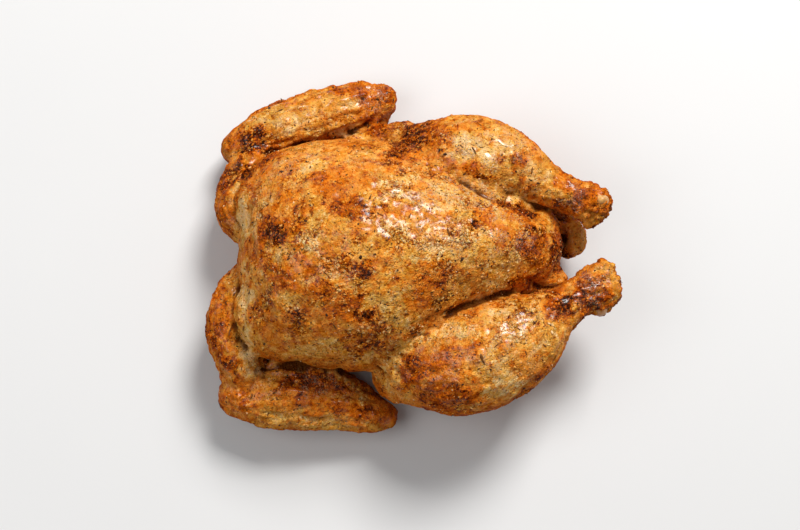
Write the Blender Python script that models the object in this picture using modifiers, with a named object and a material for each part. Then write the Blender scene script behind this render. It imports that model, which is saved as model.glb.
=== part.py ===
"""A whole roast chicken, breast up, legs untied and wings folded back, as one solid.

The bird lies along X, neck towards -X and tail towards +X, with its keel roughly
over the X axis and its left side towards +Y. It rests on a flattened patch of its
back at z = 0, and the origin is under the middle of its bounding box.

Torso and limbs are lofts between unlike sections. They are joined with balls of
flesh, remeshed into one skin, smoothed, thinned and cut flat underneath.
Lengths in the tables are millimetres and are scaled to metres by MM.
"""

import math

import bmesh
import bpy
import numpy as np
from mathutils import Matrix, Vector

NAME = "roast_chicken"
MM = 0.001

# Driving dimensions of the torso.
NECK_X = -100.0
TORSO_LENGTH = 184.0
TORSO_HALF_WIDTH = 66.0
KEEL_HEIGHT = 101.0

# Torso sections: share of the length, keel's side shift, share of the half width,
# bottom, widest height, share of the keel height, roundness below and above.
TORSO_SECTIONS = (
    (0.000, 5.0, 0.30, 24.0, 36.0, 0.44, 2.3, 2.2),
    (0.015, 5.0, 0.57, 13.0, 36.0, 0.56, 2.5, 2.2),
    (0.050, 4.5, 0.77, 4.0, 38.0, 0.71, 2.7, 2.2),
    (0.110, 4.0, 0.89, -1.0, 40.0, 0.85, 2.7, 2.1),
    (0.210, 3.5, 0.97, -2.0, 42.0, 0.95, 2.7, 2.0),
    (0.340, 3.0, 1.00, -3.0, 43.0, 1.00, 2.6, 1.9),
    (0.480, 3.0, 0.97, -3.0, 43.0, 1.00, 2.6, 1.85),
    (0.600, 4.0, 0.83, -2.0, 42.0, 0.97, 2.5, 1.8),
    (0.710, 6.0, 0.63, -1.0, 41.0, 0.92, 2.4, 1.75),
    (0.820, 7.0, 0.50, 2.0, 39.0, 0.83, 2.3, 1.75),
    (0.910, 8.0, 0.40, 8.0, 39.0, 0.72, 2.2, 1.8),
    (0.970, 9.5, 0.28, 18.0, 41.0, 0.60, 2.0, 1.9),
    (1.000, 10.0, 0.10, 32.0, 43.0, 0.50, 2.0, 2.0),
)

# Balls of flesh, as centre and radii: the breast's two front corners, the neck end,
# the rump, the right knee and the two knuckles of each shank end.
FLESH = (
    ((-68.0, 30.0, 43.0), (35.0, 29.0, 34.0)),
    ((-66.0, -30.0, 42.0), (37.0, 29.0, 35.0)),
    ((-88.0, 5.0, 31.0), (10.0, 22.0, 26.0)),
    ((40.0, 4.0, 27.0), (45.0, 51.0, 26.0)),
    ((-6.0, -64.0, 34.0), (18.0, 17.0, 24.0)),
    ((104.0, -26.0, 54.0), (7.0, 7.0, 7.0)),
    ((106.0, -8.0, 57.0), (7.0, 7.0, 7.0)),
    ((99.0, 23.0, 54.0), (6.5, 6.5, 6.5)),
    ((99.0, 37.0, 58.0), (6.0, 6.0, 6.0)),
)

# Limbs, as stations along a bent line: centre, half width and half height.
LIMBS = (
    (
        "right drumstick",
        (0.0, -63.0, 43.0, 20.0, 21.0),
        (16.0, -61.0, 48.0, 28.0, 26.0),
        (34.0, -56.0, 52.0, 31.0, 28.0),
        (52.0, -50.0, 54.0, 27.5, 26.0),
        (66.0, -42.0, 55.0, 22.0, 22.0),
        (80.0, -31.0, 55.0, 14.0, 15.0),
        (92.0, -22.5, 55.0, 11.0, 12.0),
        (101.0, -17.5, 55.0, 13.5, 12.5),
        (107.0, -15.0, 55.0, 13.0, 11.0),
    ),
    (
        "left drumstick",
        (4.0, 56.0, 43.0, 19.0, 20.0),
        (20.0, 56.5, 48.0, 25.0, 25.0),
        (36.0, 56.0, 51.0, 25.5, 26.0),
        (52.0, 52.5, 53.0, 22.0, 24.0),
        (66.0, 46.0, 54.0, 16.0, 18.5),
        (80.0, 38.5, 55.0, 10.5, 13.0),
        (90.0, 34.5, 56.0, 10.5, 12.0),
        (98.0, 31.5, 56.0, 11.5, 12.0),
        (102.0, 30.0, 56.0, 12.0, 11.0),
    ),
    (
        "right thigh",
        (2.0, -58.0, 36.0, 24.0, 26.0),
        (37.0, -51.0, 29.0, 26.0, 27.0),
        (70.0, -44.0, 25.0, 16.0, 18.0),
    ),
    (
        "left thigh",
        (8.0, 58.0, 36.0, 24.0, 26.0),
        (40.0, 52.0, 29.0, 26.0, 27.0),
        (72.0, 44.0, 24.0, 16.0, 18.0),
    ),
    (
        "right upper arm",
        (-86.0, -2.0, 30.0, 10.0, 13.0),
        (-101.0, -21.0, 32.0, 14.0, 16.0),
        (-103.5, -42.0, 31.0, 15.0, 17.0),
        (-98.0, -60.0, 27.0, 14.0, 16.0),
        (-92.0, -70.0, 23.0, 11.5, 13.0),
    ),
    (
        "left upper arm",
        (-86.0, 13.0, 31.0, 10.0, 13.0),
        (-101.0, 30.0, 32.0, 14.0, 16.0),
        (-99.0, 45.0, 30.0, 13.5, 16.0),
        (-92.0, 58.0, 26.0, 12.5, 15.0),
        (-88.0, 65.0, 23.0, 11.0, 13.0),
    ),
    (
        "right forearm",
        (-102.0, -76.0, 20.0, 13.0, 15.0),
        (-88.0, -77.5, 22.0, 17.0, 18.0),
        (-64.0, -78.5, 22.0, 18.0, 18.0),
        (-42.0, -82.5, 19.0, 14.5, 15.0),
        (-24.0, -86.5, 15.0, 11.0, 12.0),
        (-15.0, -88.5, 13.0, 8.0, 9.5),
    ),
    (
        "left forearm",
        (-103.0, 67.0, 19.0, 11.0, 14.0),
        (-88.0, 76.0, 22.0, 14.0, 16.5),
        (-66.0, 83.5, 22.0, 16.5, 17.0),
        (-44.0, 90.5, 20.0, 15.5, 16.0),
        (-26.0, 95.5, 19.0, 12.5, 13.5),
        (-17.0, 97.5, 18.0, 9.5, 11.0),
    ),
    (
        "right elbow skin",
        (-80.0, -65.0, 25.0, 10.0, 12.0),
        (-54.0, -69.0, 23.0, 12.0, 13.0),
        (-24.0, -81.0, 13.0, 7.5, 9.0),
    ),
    (
        "left flank skin",
        (-36.0, 64.0, 24.0, 10.0, 10.0),
        (-20.0, 72.0, 22.0, 10.0, 9.0),
        (-4.0, 72.0, 26.0, 12.0, 12.0),
    ),
    (
        "right wing tip",
        (-26.0, -84.0, 10.0, 8.0, 6.0),
        (-40.0, -73.0, 9.0, 10.0, 7.0),
        (-54.0, -60.0, 8.0, 7.0, 5.0),
    ),
    (
        "left wing tip",
        (-20.0, 91.0, 12.0, 8.0, 6.0),
        (-33.0, 78.0, 9.0, 10.0, 7.0),
        (-48.0, 63.0, 8.0, 7.0, 5.0),
    ),
    (
        "tail",
        (62.0, 9.0, 25.0, 18.0, 12.0),
        (80.0, 14.0, 26.0, 16.0, 12.0),
        (92.0, 16.0, 27.0, 12.0, 10.0),
    ),
    (
        "skin under tail",
        (64.0, 36.0, 26.0, 14.0, 13.0),
        (80.0, 31.0, 26.0, 12.0, 11.0),
        (90.0, 28.0, 26.0, 9.0, 9.0),
    ),
    (
        "right vent flap",
        (56.0, -8.0, 44.0, 16.0, 9.0),
        (72.0, -10.0, 41.0, 12.0, 7.0),
        (84.0, -11.5, 38.0, 7.0, 5.0),
    ),
    (
        "left vent flap",
        (52.0, 24.0, 42.0, 12.0, 8.0),
        (68.0, 20.0, 41.0, 12.0, 9.0),
        (80.0, 16.0, 38.0, 8.0, 7.0),
    ),
)

# Mesh settings.
TORSO_RINGS = 64
TORSO_SIDES = 64
LIMB_RINGS = 24
LIMB_SIDES = 28
CAP_RINGS = 5
CAP_ROUNDNESS = 0.8
VOXEL = 2.0
SMOOTH_FACTOR = 0.5
SMOOTH_STEPS = 8
KEPT_SHARE = 0.105
FLOOR_BLOCK = 320.0
FLOOR_DEPTH = 40.0

SKIN_COLOUR = (0.50, 0.215, 0.062, 1.0)
SKIN_ROUGHNESS = 0.38


def clear_scene():
    """Remove every object from the scene."""
    for item in list(bpy.data.objects):
        bpy.data.objects.remove(item, do_unlink=True)


def smooth_rows(rows, shares):
    """Read a table at new values of its first column, on a smooth curve through its rows."""
    table = np.array(rows, dtype=float)
    knots = table[:, 0]
    slopes = np.gradient(table[:, 1:], knots, axis=0)
    left = np.clip(np.searchsorted(knots, shares, side="right") - 1, 0, len(knots) - 2)
    span = (knots[left + 1] - knots[left])[:, None]
    step = (shares - knots[left])[:, None] / span
    start_weight = (1 + 2 * step) * (1 - step) ** 2
    end_weight = step * step * (3 - 2 * step)
    start_slope = step * (1 - step) ** 2 * span
    end_slope = step * step * (step - 1) * span
    start = table[left, 1:]
    end = table[left + 1, 1:]
    return start_weight * start + end_weight * end + start_slope * slopes[left] + end_slope * slopes[left + 1]


def signed_power(values, power):
    """Raise the size of each value to a power and keep its sign."""
    return np.sign(values) * np.abs(values) ** power


def add_loft(mesh, rings):
    """Join rings of equal length into one closed tube with fan caps."""
    count = rings.shape[1]
    verts = [[mesh.verts.new(Vector(point)) for point in ring] for ring in rings]
    for ring, following in zip(verts[:-1], verts[1:]):
        for side in range(count):
            after = (side + 1) % count
            mesh.faces.new((ring[side], ring[after], following[after], following[side]))
    for ring, order in ((verts[0], -1), (verts[-1], 1)):
        centre = mesh.verts.new(sum((vert.co for vert in ring), Vector()) / count)
        for side in range(count):
            pair = (ring[side], ring[(side + 1) % count])[::order]
            mesh.faces.new((pair[0], pair[1], centre))


def add_torso(mesh):
    """Loft the torso: upper and lower halves are ellipses of different height."""
    even = 0.5 - 0.5 * np.cos(np.linspace(0.0, math.pi, TORSO_RINGS))
    shift, width, bottom, middle, top, low_power, up_power = smooth_rows(TORSO_SECTIONS, even).T
    angle = np.linspace(0.0, 2.0 * math.pi, TORSO_SIDES, endpoint=False)[None, :]
    across = np.cos(angle)
    upward = np.sin(angle)
    power = np.where(upward > 0.0, up_power[:, None], low_power[:, None])
    rise = np.where(upward > 0.0, (top * KEEL_HEIGHT - middle)[:, None], (middle - bottom)[:, None])
    y = shift[:, None] + width[:, None] * TORSO_HALF_WIDTH * signed_power(across, 2.0 / power)
    z = middle[:, None] + rise * signed_power(upward, 2.0 / power)
    x = np.broadcast_to((NECK_X + TORSO_LENGTH * even)[:, None], y.shape)
    add_loft(mesh, np.stack((x, y, z), axis=2) * MM)


def add_limb(mesh, stations):
    """Loft one limb on a smooth curve through its stations, with rounded ends."""
    table = np.array(stations, dtype=float)
    steps = np.linalg.norm(np.diff(table[:, :3], axis=0), axis=1)
    length = np.concatenate(([0.0], np.cumsum(steps)))
    rows = np.column_stack((length / length[-1], table))
    even = smooth_rows(rows, np.linspace(0.0, 1.0, LIMB_RINGS))
    path, radii = even[:, :3], even[:, 3:]
    ahead = np.gradient(path, axis=0)
    ahead /= np.linalg.norm(ahead, axis=1, keepdims=True)
    turn = (np.arange(CAP_RINGS) + 0.5) / CAP_RINGS * math.pi / 2.0
    reach = CAP_ROUNDNESS * radii[[0, -1]].min(axis=1)
    first = path[0] - ahead[0] * reach[0] * np.cos(turn)[:, None]
    last = path[-1] + ahead[-1] * reach[1] * np.sin(turn)[:, None]
    path = np.concatenate((first, path, last))
    ahead = np.concatenate((np.repeat(ahead[:1], CAP_RINGS, 0), ahead, np.repeat(ahead[-1:], CAP_RINGS, 0)))
    radii = np.concatenate((radii[0] * np.sin(turn)[:, None], radii, radii[-1] * np.cos(turn)[:, None]))
    sideways = np.cross((0.0, 0.0, 1.0), ahead)
    sideways /= np.linalg.norm(sideways, axis=1, keepdims=True)
    over = np.cross(ahead, sideways)
    angle = np.linspace(0.0, 2.0 * math.pi, LIMB_SIDES, endpoint=False)
    across = np.cos(angle)[None, :, None] * radii[:, :1, None] * sideways[:, None, :]
    upward = np.sin(angle)[None, :, None] * radii[:, 1:, None] * over[:, None, :]
    add_loft(mesh, (path[:, None, :] + across + upward) * MM)


def add_ball(mesh, centre, radii):
    """Add one stretched ball."""
    place = Matrix.Translation(Vector(centre) * MM)
    stretch = Matrix.Diagonal((*(Vector(radii) * MM), 1.0))
    bmesh.ops.create_uvsphere(mesh, u_segments=32, v_segments=20, radius=1.0, matrix=place @ stretch)


def overlapping_shapes():
    """Model torso, limbs and flesh as closed shapes that run into one another."""
    mesh = bmesh.new()
    add_torso(mesh)
    for centre, radii in FLESH:
        add_ball(mesh, centre, radii)
    for _, *stations in LIMBS:
        add_limb(mesh, stations)
    bmesh.ops.recalc_face_normals(mesh, faces=mesh.faces)
    data = bpy.data.meshes.new(NAME)
    mesh.to_mesh(data)
    mesh.free()
    return data


def skin_material():
    """Golden brown roasted skin."""
    material = bpy.data.materials.new("roasted_skin")
    material.use_nodes = True
    shader = material.node_tree.nodes["Principled BSDF"]
    shader.inputs["Base Color"].default_value = SKIN_COLOUR
    shader.inputs["Roughness"].default_value = SKIN_ROUGHNESS
    shader.inputs["Metallic"].default_value = 0.0
    return material


def floor_cutter(collection):
    """A block below z = 0 that flattens the patch the bird rests on."""
    mesh = bmesh.new()
    centre = Matrix.Translation((0.0, 0.0, -0.5 * FLOOR_DEPTH * MM))
    size = Matrix.Diagonal((FLOOR_BLOCK * MM, FLOOR_BLOCK * MM, FLOOR_DEPTH * MM, 1.0))
    bmesh.ops.create_cube(mesh, size=1.0, matrix=centre @ size)
    data = bpy.data.meshes.new("floor_cutter")
    mesh.to_mesh(data)
    mesh.free()
    cutter = bpy.data.objects.new("floor_cutter", data)
    cutter.hide_render = True
    cutter.display_type = "WIRE"
    collection.objects.link(cutter)
    return cutter


def add_modifiers(bird, cutter):
    """Fuse the shapes into one skin, soften its creases, thin it and cut it flat."""
    remesh = bird.modifiers.new("one skin", "REMESH")
    remesh.mode = "VOXEL"
    remesh.voxel_size = VOXEL * MM
    smooth = bird.modifiers.new("soft creases", "SMOOTH")
    smooth.factor = SMOOTH_FACTOR
    smooth.iterations = SMOOTH_STEPS
    thin = bird.modifiers.new("fewer faces", "DECIMATE")
    thin.ratio = KEPT_SHARE
    flat = bird.modifiers.new("flat underneath", "BOOLEAN")
    flat.operation = "DIFFERENCE"
    flat.solver = "EXACT"
    flat.object = cutter


def centre_over_origin(bird):
    """Move the bird sideways until its finished bounding box is centred on the origin."""
    finished = bird.evaluated_get(bpy.context.evaluated_depsgraph_get())
    corners = np.array([bird.matrix_world @ Vector(corner) for corner in finished.bound_box])
    middle = 0.5 * (corners.min(axis=0) + corners.max(axis=0))
    bird.location = (-middle[0], -middle[1], 0.0)


def main():
    """Build the bird and its cutter."""
    clear_scene()
    parts = bpy.data.collections.new(NAME)
    cutters = bpy.data.collections.new("cutters")
    bpy.context.scene.collection.children.link(parts)
    bpy.context.scene.collection.children.link(cutters)
    data = overlapping_shapes()
    data.materials.append(skin_material())
    bird = bpy.data.objects.new(NAME, data)
    parts.objects.link(bird)
    add_modifiers(bird, floor_cutter(cutters))
    centre_over_origin(bird)
    bpy.context.view_layer.update()


main()
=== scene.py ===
"""Looks of a whole roast chicken, breast up: browned skin, bone ends, herbs and spice.

Tables of lengths are millimetres in the bird's own frame: X runs from neck to tail,
Y towards the bird's left side and Z up through the breast, with z = 0 where it rests.
The finished skin is fitted to the box of the CAD solid that it stands for.
"""

import logging
import math
from dataclasses import dataclass
from enum import Enum
from typing import Any, Optional, Sequence, Union

import bpy
import numpy as np
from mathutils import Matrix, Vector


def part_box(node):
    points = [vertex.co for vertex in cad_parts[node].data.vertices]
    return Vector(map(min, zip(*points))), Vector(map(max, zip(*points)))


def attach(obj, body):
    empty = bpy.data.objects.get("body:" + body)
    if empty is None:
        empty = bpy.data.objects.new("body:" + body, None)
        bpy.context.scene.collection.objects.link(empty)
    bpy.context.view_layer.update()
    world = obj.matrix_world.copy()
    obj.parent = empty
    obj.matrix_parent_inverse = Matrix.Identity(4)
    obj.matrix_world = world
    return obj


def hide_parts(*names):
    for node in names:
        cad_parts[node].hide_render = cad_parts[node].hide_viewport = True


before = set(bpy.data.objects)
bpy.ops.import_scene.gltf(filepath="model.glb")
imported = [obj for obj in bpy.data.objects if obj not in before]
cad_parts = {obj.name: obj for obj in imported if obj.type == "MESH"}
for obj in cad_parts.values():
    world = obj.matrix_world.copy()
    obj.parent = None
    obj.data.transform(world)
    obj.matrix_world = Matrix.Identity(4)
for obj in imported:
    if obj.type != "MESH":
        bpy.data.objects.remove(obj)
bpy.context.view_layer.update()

MM = 0.001
LOOKS = ("tone", "warmth", "crust", "grain", "gloss", "wet", "crease")
BODY = "root"
NODE = "roast_chicken"
LOG = logging.getLogger("roast_chicken")

Array = np.ndarray
Table = Sequence[Sequence[float]]
Point = tuple[float, float, float]
Colour = tuple[float, float, float]
Stops = Sequence[tuple[float, Colour]]


# --------------------------------------------------------------------------- numbers


def smooth_step(low: float, high: float, values: Array) -> Array:
    """Rise from 0 at low to 1 at high along the cubic 3t^2 - 2t^3.

    Args:
        low: Value where the step starts.
        high: Value where the step ends.
        values: Values to pass through the step.

    Returns:
        The stepped values, between 0 and 1.
    """
    share = np.clip((values - low) / (high - low), 0.0, 1.0)
    return share * share * (3.0 - 2.0 * share)


def unit(vectors: Array) -> Array:
    """Scale each vector of an array to length 1."""
    return vectors / np.maximum(np.linalg.norm(vectors, axis=-1, keepdims=True), 1e-12)


def read_table(rows: Table, shares: Array) -> Array:
    """Read a table between its rows, on a cubic curve through them.

    Each stretch is the Hermite cubic of its two rows, with slopes taken from the
    rows on either side.

    Args:
        rows: Table whose first column rises.
        shares: Values of the first column to read at.

    Returns:
        One row of the other columns for each share.
    """
    table = np.array(rows, dtype=float)
    knots = table[:, 0]
    slopes = np.gradient(table[:, 1:], knots, axis=0)
    left = np.clip(np.searchsorted(knots, shares, side="right") - 1, 0, len(knots) - 2)
    span = (knots[left + 1] - knots[left])[:, None]
    step = (shares - knots[left])[:, None] / span
    start = (1 + 2 * step) * (1 - step) ** 2 * table[left, 1:]
    end = step * step * (3 - 2 * step) * table[left + 1, 1:]
    leaving = step * (1 - step) ** 2 * span * slopes[left]
    arriving = step * step * (step - 1) * span * slopes[left + 1]
    return start + end + leaving + arriving


def run_lengths(path: Array) -> Array:
    """Distance from the start of a line to each of its points, along its chords."""
    steps = np.linalg.norm(np.diff(path, axis=0), axis=1)
    return np.concatenate(([0.0], np.cumsum(steps)))


# Bit mixing of the noise: large odd factors, the shifts between them and a 32-bit word.
WORD = 2**32
SEED_FACTOR = 2654435761
CELL_FACTORS = (73856093, 19349663, 83492791)
MIXERS = ((15, 2246822519), (13, 3266489917))
LAST_SHIFT = 16
# Steps of height and of turn that the mixed bits are read as.
HEIGHT_STEPS = 65521
TURN_STEPS = 65536
# Shifts that keep lattice cells positive and octaves apart, and the height of the noise.
LATTICE_SHIFT = 1000.0
CELL_SHIFT = 500.0
OCTAVE_SHIFT = 17.0
DOT_JITTER = 0.35
NOISE_GAIN = 1.6


@dataclass(frozen=True)
class Noise:
    """Gradient noise of a fixed seed, worked out for whole arrays of points."""

    seed: int

    def _corner(self, cell: Array) -> Array:
        """Mix the bits of each lattice cell into a repeatable pseudo-random number.

        Args:
            cell: Cells, one row each.

        Returns:
            One number for each cell.
        """
        mixed = np.uint64(self.seed * SEED_FACTOR % WORD)
        for axis, factor in enumerate(CELL_FACTORS):
            mixed = mixed ^ cell[:, axis].astype(np.uint64) * np.uint64(factor)
        for shift, factor in MIXERS:
            mixed = (mixed ^ (mixed >> np.uint64(shift))) * np.uint64(factor) % np.uint64(WORD)
        return mixed ^ (mixed >> np.uint64(LAST_SHIFT))

    def _direction(self, cell: Array) -> Array:
        """Turn each lattice cell's number into a unit vector, by its height and its turn.

        Args:
            cell: Cells, one row each.

        Returns:
            One vector for each cell.
        """
        number = self._corner(cell)
        height = (number % np.uint64(HEIGHT_STEPS)).astype(float) * 2.0 / HEIGHT_STEPS - 1.0
        turn = (number // np.uint64(TURN_STEPS)).astype(float) * (2.0 * math.pi / TURN_STEPS)
        flat = np.sqrt(np.maximum(1.0 - height * height, 0.0))
        return np.stack((flat * np.cos(turn), flat * np.sin(turn), height), axis=1)

    def at(self, points: Array) -> Array:
        """Sample the noise once per unit of length.

        The value is each surrounding lattice corner's direction dotted with the way
        from that corner, blended by the quintic 6t^5 - 15t^4 + 10t^3.

        Args:
            points: Points in lattice units, one row each.

        Returns:
            Values of about -1 to 1.
        """
        moved = points + LATTICE_SHIFT
        base = np.floor(moved)
        part = moved - base
        blend = part**3 * (part * (part * 6.0 - 15.0) + 10.0)
        total = np.zeros(len(points))
        for corner in np.ndindex(2, 2, 2):
            weight = np.prod(np.where(np.array(corner) == 1, blend, 1.0 - blend), axis=1)
            total += weight * np.einsum("ij,ij->i", self._direction(base + corner), part - corner)
        return total * NOISE_GAIN

    def fractal(self, points: Array, size: float, octaves: int) -> Array:
        """Sum octaves of noise, each half the size and half the height of the last.

        Args:
            points: Points, one row each.
            size: Size of the first octave.
            octaves: How many there are.

        Returns:
            One value for each point.
        """
        total = np.zeros(len(points))
        for octave in range(octaves):
            scaled = points * (2.0**octave / size) + OCTAVE_SHIFT * octave
            total += self.at(scaled) * 0.5**octave
        return total

    def cells(self, points: Array, size: float) -> Array:
        """Distance to the nearest of one jittered dot in each cell.

        Args:
            points: Points, one row each.
            size: Width of a cell.

        Returns:
            Distances in cell widths.
        """
        scaled = points / size + CELL_SHIFT
        base = np.floor(scaled)
        best = np.full(len(points), math.inf)
        for step in np.ndindex(3, 3, 3):
            cell = base + step - 1.0
            dot = cell + 0.5 + DOT_JITTER * self._direction(cell)
            best = np.minimum(best, ((scaled - dot) ** 2).sum(axis=1))
        return np.sqrt(best)


# --------------------------------------------------------------------------- surfaces


def add_object(name: str, data: bpy.types.ID) -> bpy.types.Object:
    """Add an object to the scene, at the origin.

    Args:
        name: Name of the object.
        data: Its mesh, lamp or camera.

    Returns:
        The new object.
    """
    added = bpy.data.objects.new(name, data)
    bpy.context.scene.collection.objects.link(added)
    return added


@dataclass
class Surface:
    """Points and faces of a mesh, all faces with the same number of corners."""

    points: Array
    faces: Array

    @staticmethod
    def joined(parts: Sequence["Surface"]) -> "Surface":
        """Put several surfaces into one, renumbering their faces.

        Args:
            parts: The surfaces.

        Returns:
            All of them as one surface.
        """
        starts = np.cumsum([0] + [len(part.points) for part in parts[:-1]])
        faces = [part.faces + start for part, start in zip(parts, starts)]
        return Surface(np.concatenate([part.points for part in parts]), np.concatenate(faces))

    @staticmethod
    def loft(rings: Array) -> "Surface":
        """Close a stack of rings into a tube of triangles with a fan at each end.

        Args:
            rings: Array of rings, points and coordinates.

        Returns:
            A closed surface, facing outwards when the rings turn anticlockwise
            about the way they are stacked.
        """
        count, sides = rings.shape[:2]
        ring = np.arange(count - 1)[:, None] * sides
        side = np.arange(sides)[None, :]
        after = (side + 1) % sides
        a, b, c, d = ring + side, ring + after, ring + sides + after, ring + sides + side
        walls = np.stack((np.stack((a, b, c), -1), np.stack((a, c, d), -1)), -2).reshape(-1, 3)
        final = (count - 1) * sides
        first_pole, last_pole = (np.full(sides, count * sides + end) for end in range(2))
        start = np.stack((after[0], side[0], first_pole), -1)
        end = np.stack((final + side[0], final + after[0], last_pole), -1)
        poles = np.stack((rings[0].mean(axis=0), rings[-1].mean(axis=0)))
        points = np.concatenate((rings.reshape(-1, 3), poles))
        return Surface(points, np.concatenate((walls, start, end)))

    def mesh(self, name: str) -> bpy.types.Mesh:
        """Write the surface into a new mesh.

        Args:
            name: Name of the mesh.

        Returns:
            The mesh, shaded smooth.
        """
        corners = self.faces.shape[1]
        mesh = bpy.data.meshes.new(name)
        mesh.vertices.add(len(self.points))
        mesh.vertices.foreach_set("co", self.points.astype(np.float32).ravel())
        mesh.loops.add(self.faces.size)
        mesh.loops.foreach_set("vertex_index", self.faces.astype(np.int32).ravel())
        mesh.polygons.add(len(self.faces))
        starts = np.arange(0, self.faces.size, corners, dtype=np.int32)
        mesh.polygons.foreach_set("loop_start", starts)
        mesh.polygons.foreach_set("use_smooth", np.ones(len(self.faces), dtype=bool))
        mesh.update(calc_edges=True)
        return mesh

    def face_ways(self) -> Array:
        """Cross two ways over each face: its diagonals, or two edges of a triangle.

        Returns:
            Normals of the faces, twice as long as the faces are large.
        """
        corner = self.points[self.faces]
        a, b, c, d = (0, 2, 1, 3) if self.faces.shape[1] == 4 else (0, 1, 0, 2)
        return np.cross(corner[:, b] - corner[:, a], corner[:, d] - corner[:, c])

    def normals(self) -> Array:
        """Add up the normals of the faces round each point.

        Returns:
            Unit normals of the points.
        """
        spread = np.repeat(self.face_ways(), self.faces.shape[1], axis=0)
        index = self.faces.ravel()
        sums = [np.bincount(index, spread[:, axis], len(self.points)) for axis in range(3)]
        return unit(np.stack(sums, axis=1))

    def relaxed(self, weight: Union[float, Array], rounds: int) -> "Surface":
        """Pull points towards the mean of their neighbours, round after round.

        Args:
            weight: Share of the way to go each round, for all points or for each.
            rounds: Number of rounds.

        Returns:
            The relaxed surface.
        """
        start = self.faces.ravel()
        end = np.roll(self.faces, -1, axis=1).ravel()
        size = len(self.points)
        neighbours = np.bincount(start, minlength=size)[:, None]
        share = np.broadcast_to(np.asarray(weight, dtype=float), (size,))[:, None]
        points = self.points.copy()
        for _ in range(rounds):
            sums = [np.bincount(start, points[end, axis], size) for axis in range(3)]
            points += share * (np.stack(sums, axis=1) / neighbours - points)
        return Surface(points, self.faces)

    def hollow(self, rounds: int) -> Array:
        """How deep each point lies under the surface relaxed for a number of rounds."""
        wide = self.relaxed(0.5, rounds)
        return np.einsum("ij,ij->i", wide.points - self.points, self.normals())

    def fused(self, voxel: float) -> "Surface":
        """Fuse closed shapes that run into one another into one skin of even squares.

        Args:
            voxel: Width of a square.

        Returns:
            The outer skin, in quads.
        """
        source = add_object("loose_shapes", self.mesh("loose_shapes"))
        remesh = source.modifiers.new("one skin", "REMESH")
        remesh.mode = "VOXEL"
        remesh.voxel_size = voxel
        finished = source.evaluated_get(bpy.context.evaluated_depsgraph_get()).to_mesh()
        points = np.empty(len(finished.vertices) * 3, dtype=np.float32)
        finished.vertices.foreach_get("co", points)
        corners = np.empty(len(finished.loops), dtype=np.int32)
        finished.loops.foreach_get("vertex_index", corners)
        rough = source.data
        bpy.data.objects.remove(source, do_unlink=True)
        bpy.data.meshes.remove(rough)
        return Surface(points.reshape(-1, 3).astype(float), corners.reshape(-1, 4))


# --------------------------------------------------------------------------- anatomy


# Shift between a limb's grains, and how blunt and how high the ridges of a wrinkle are.
GRAIN_SHIFT = 31.0
RIDGE_ROUNDNESS = 0.01
RIDGE_MIDDLE = 0.5


@dataclass(frozen=True)
class Grain:
    """Wrinkles of skin: ridges of a width, drawn out along the limb, and their depth.

    They run from one share of the limb's line to another, with soft edges.
    """

    along: float
    across: float
    depth: float
    start: float = 0.0
    end: float = 1.0
    edge: float = 0.12

    def span(self, share: Array) -> Array:
        """How far the wrinkles cover shares of the line, from 0 to 1."""
        begun = smooth_step(self.start - self.edge, self.start + self.edge, share)
        return begun * (1.0 - smooth_step(self.end - self.edge, self.end + self.edge, share))


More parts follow.
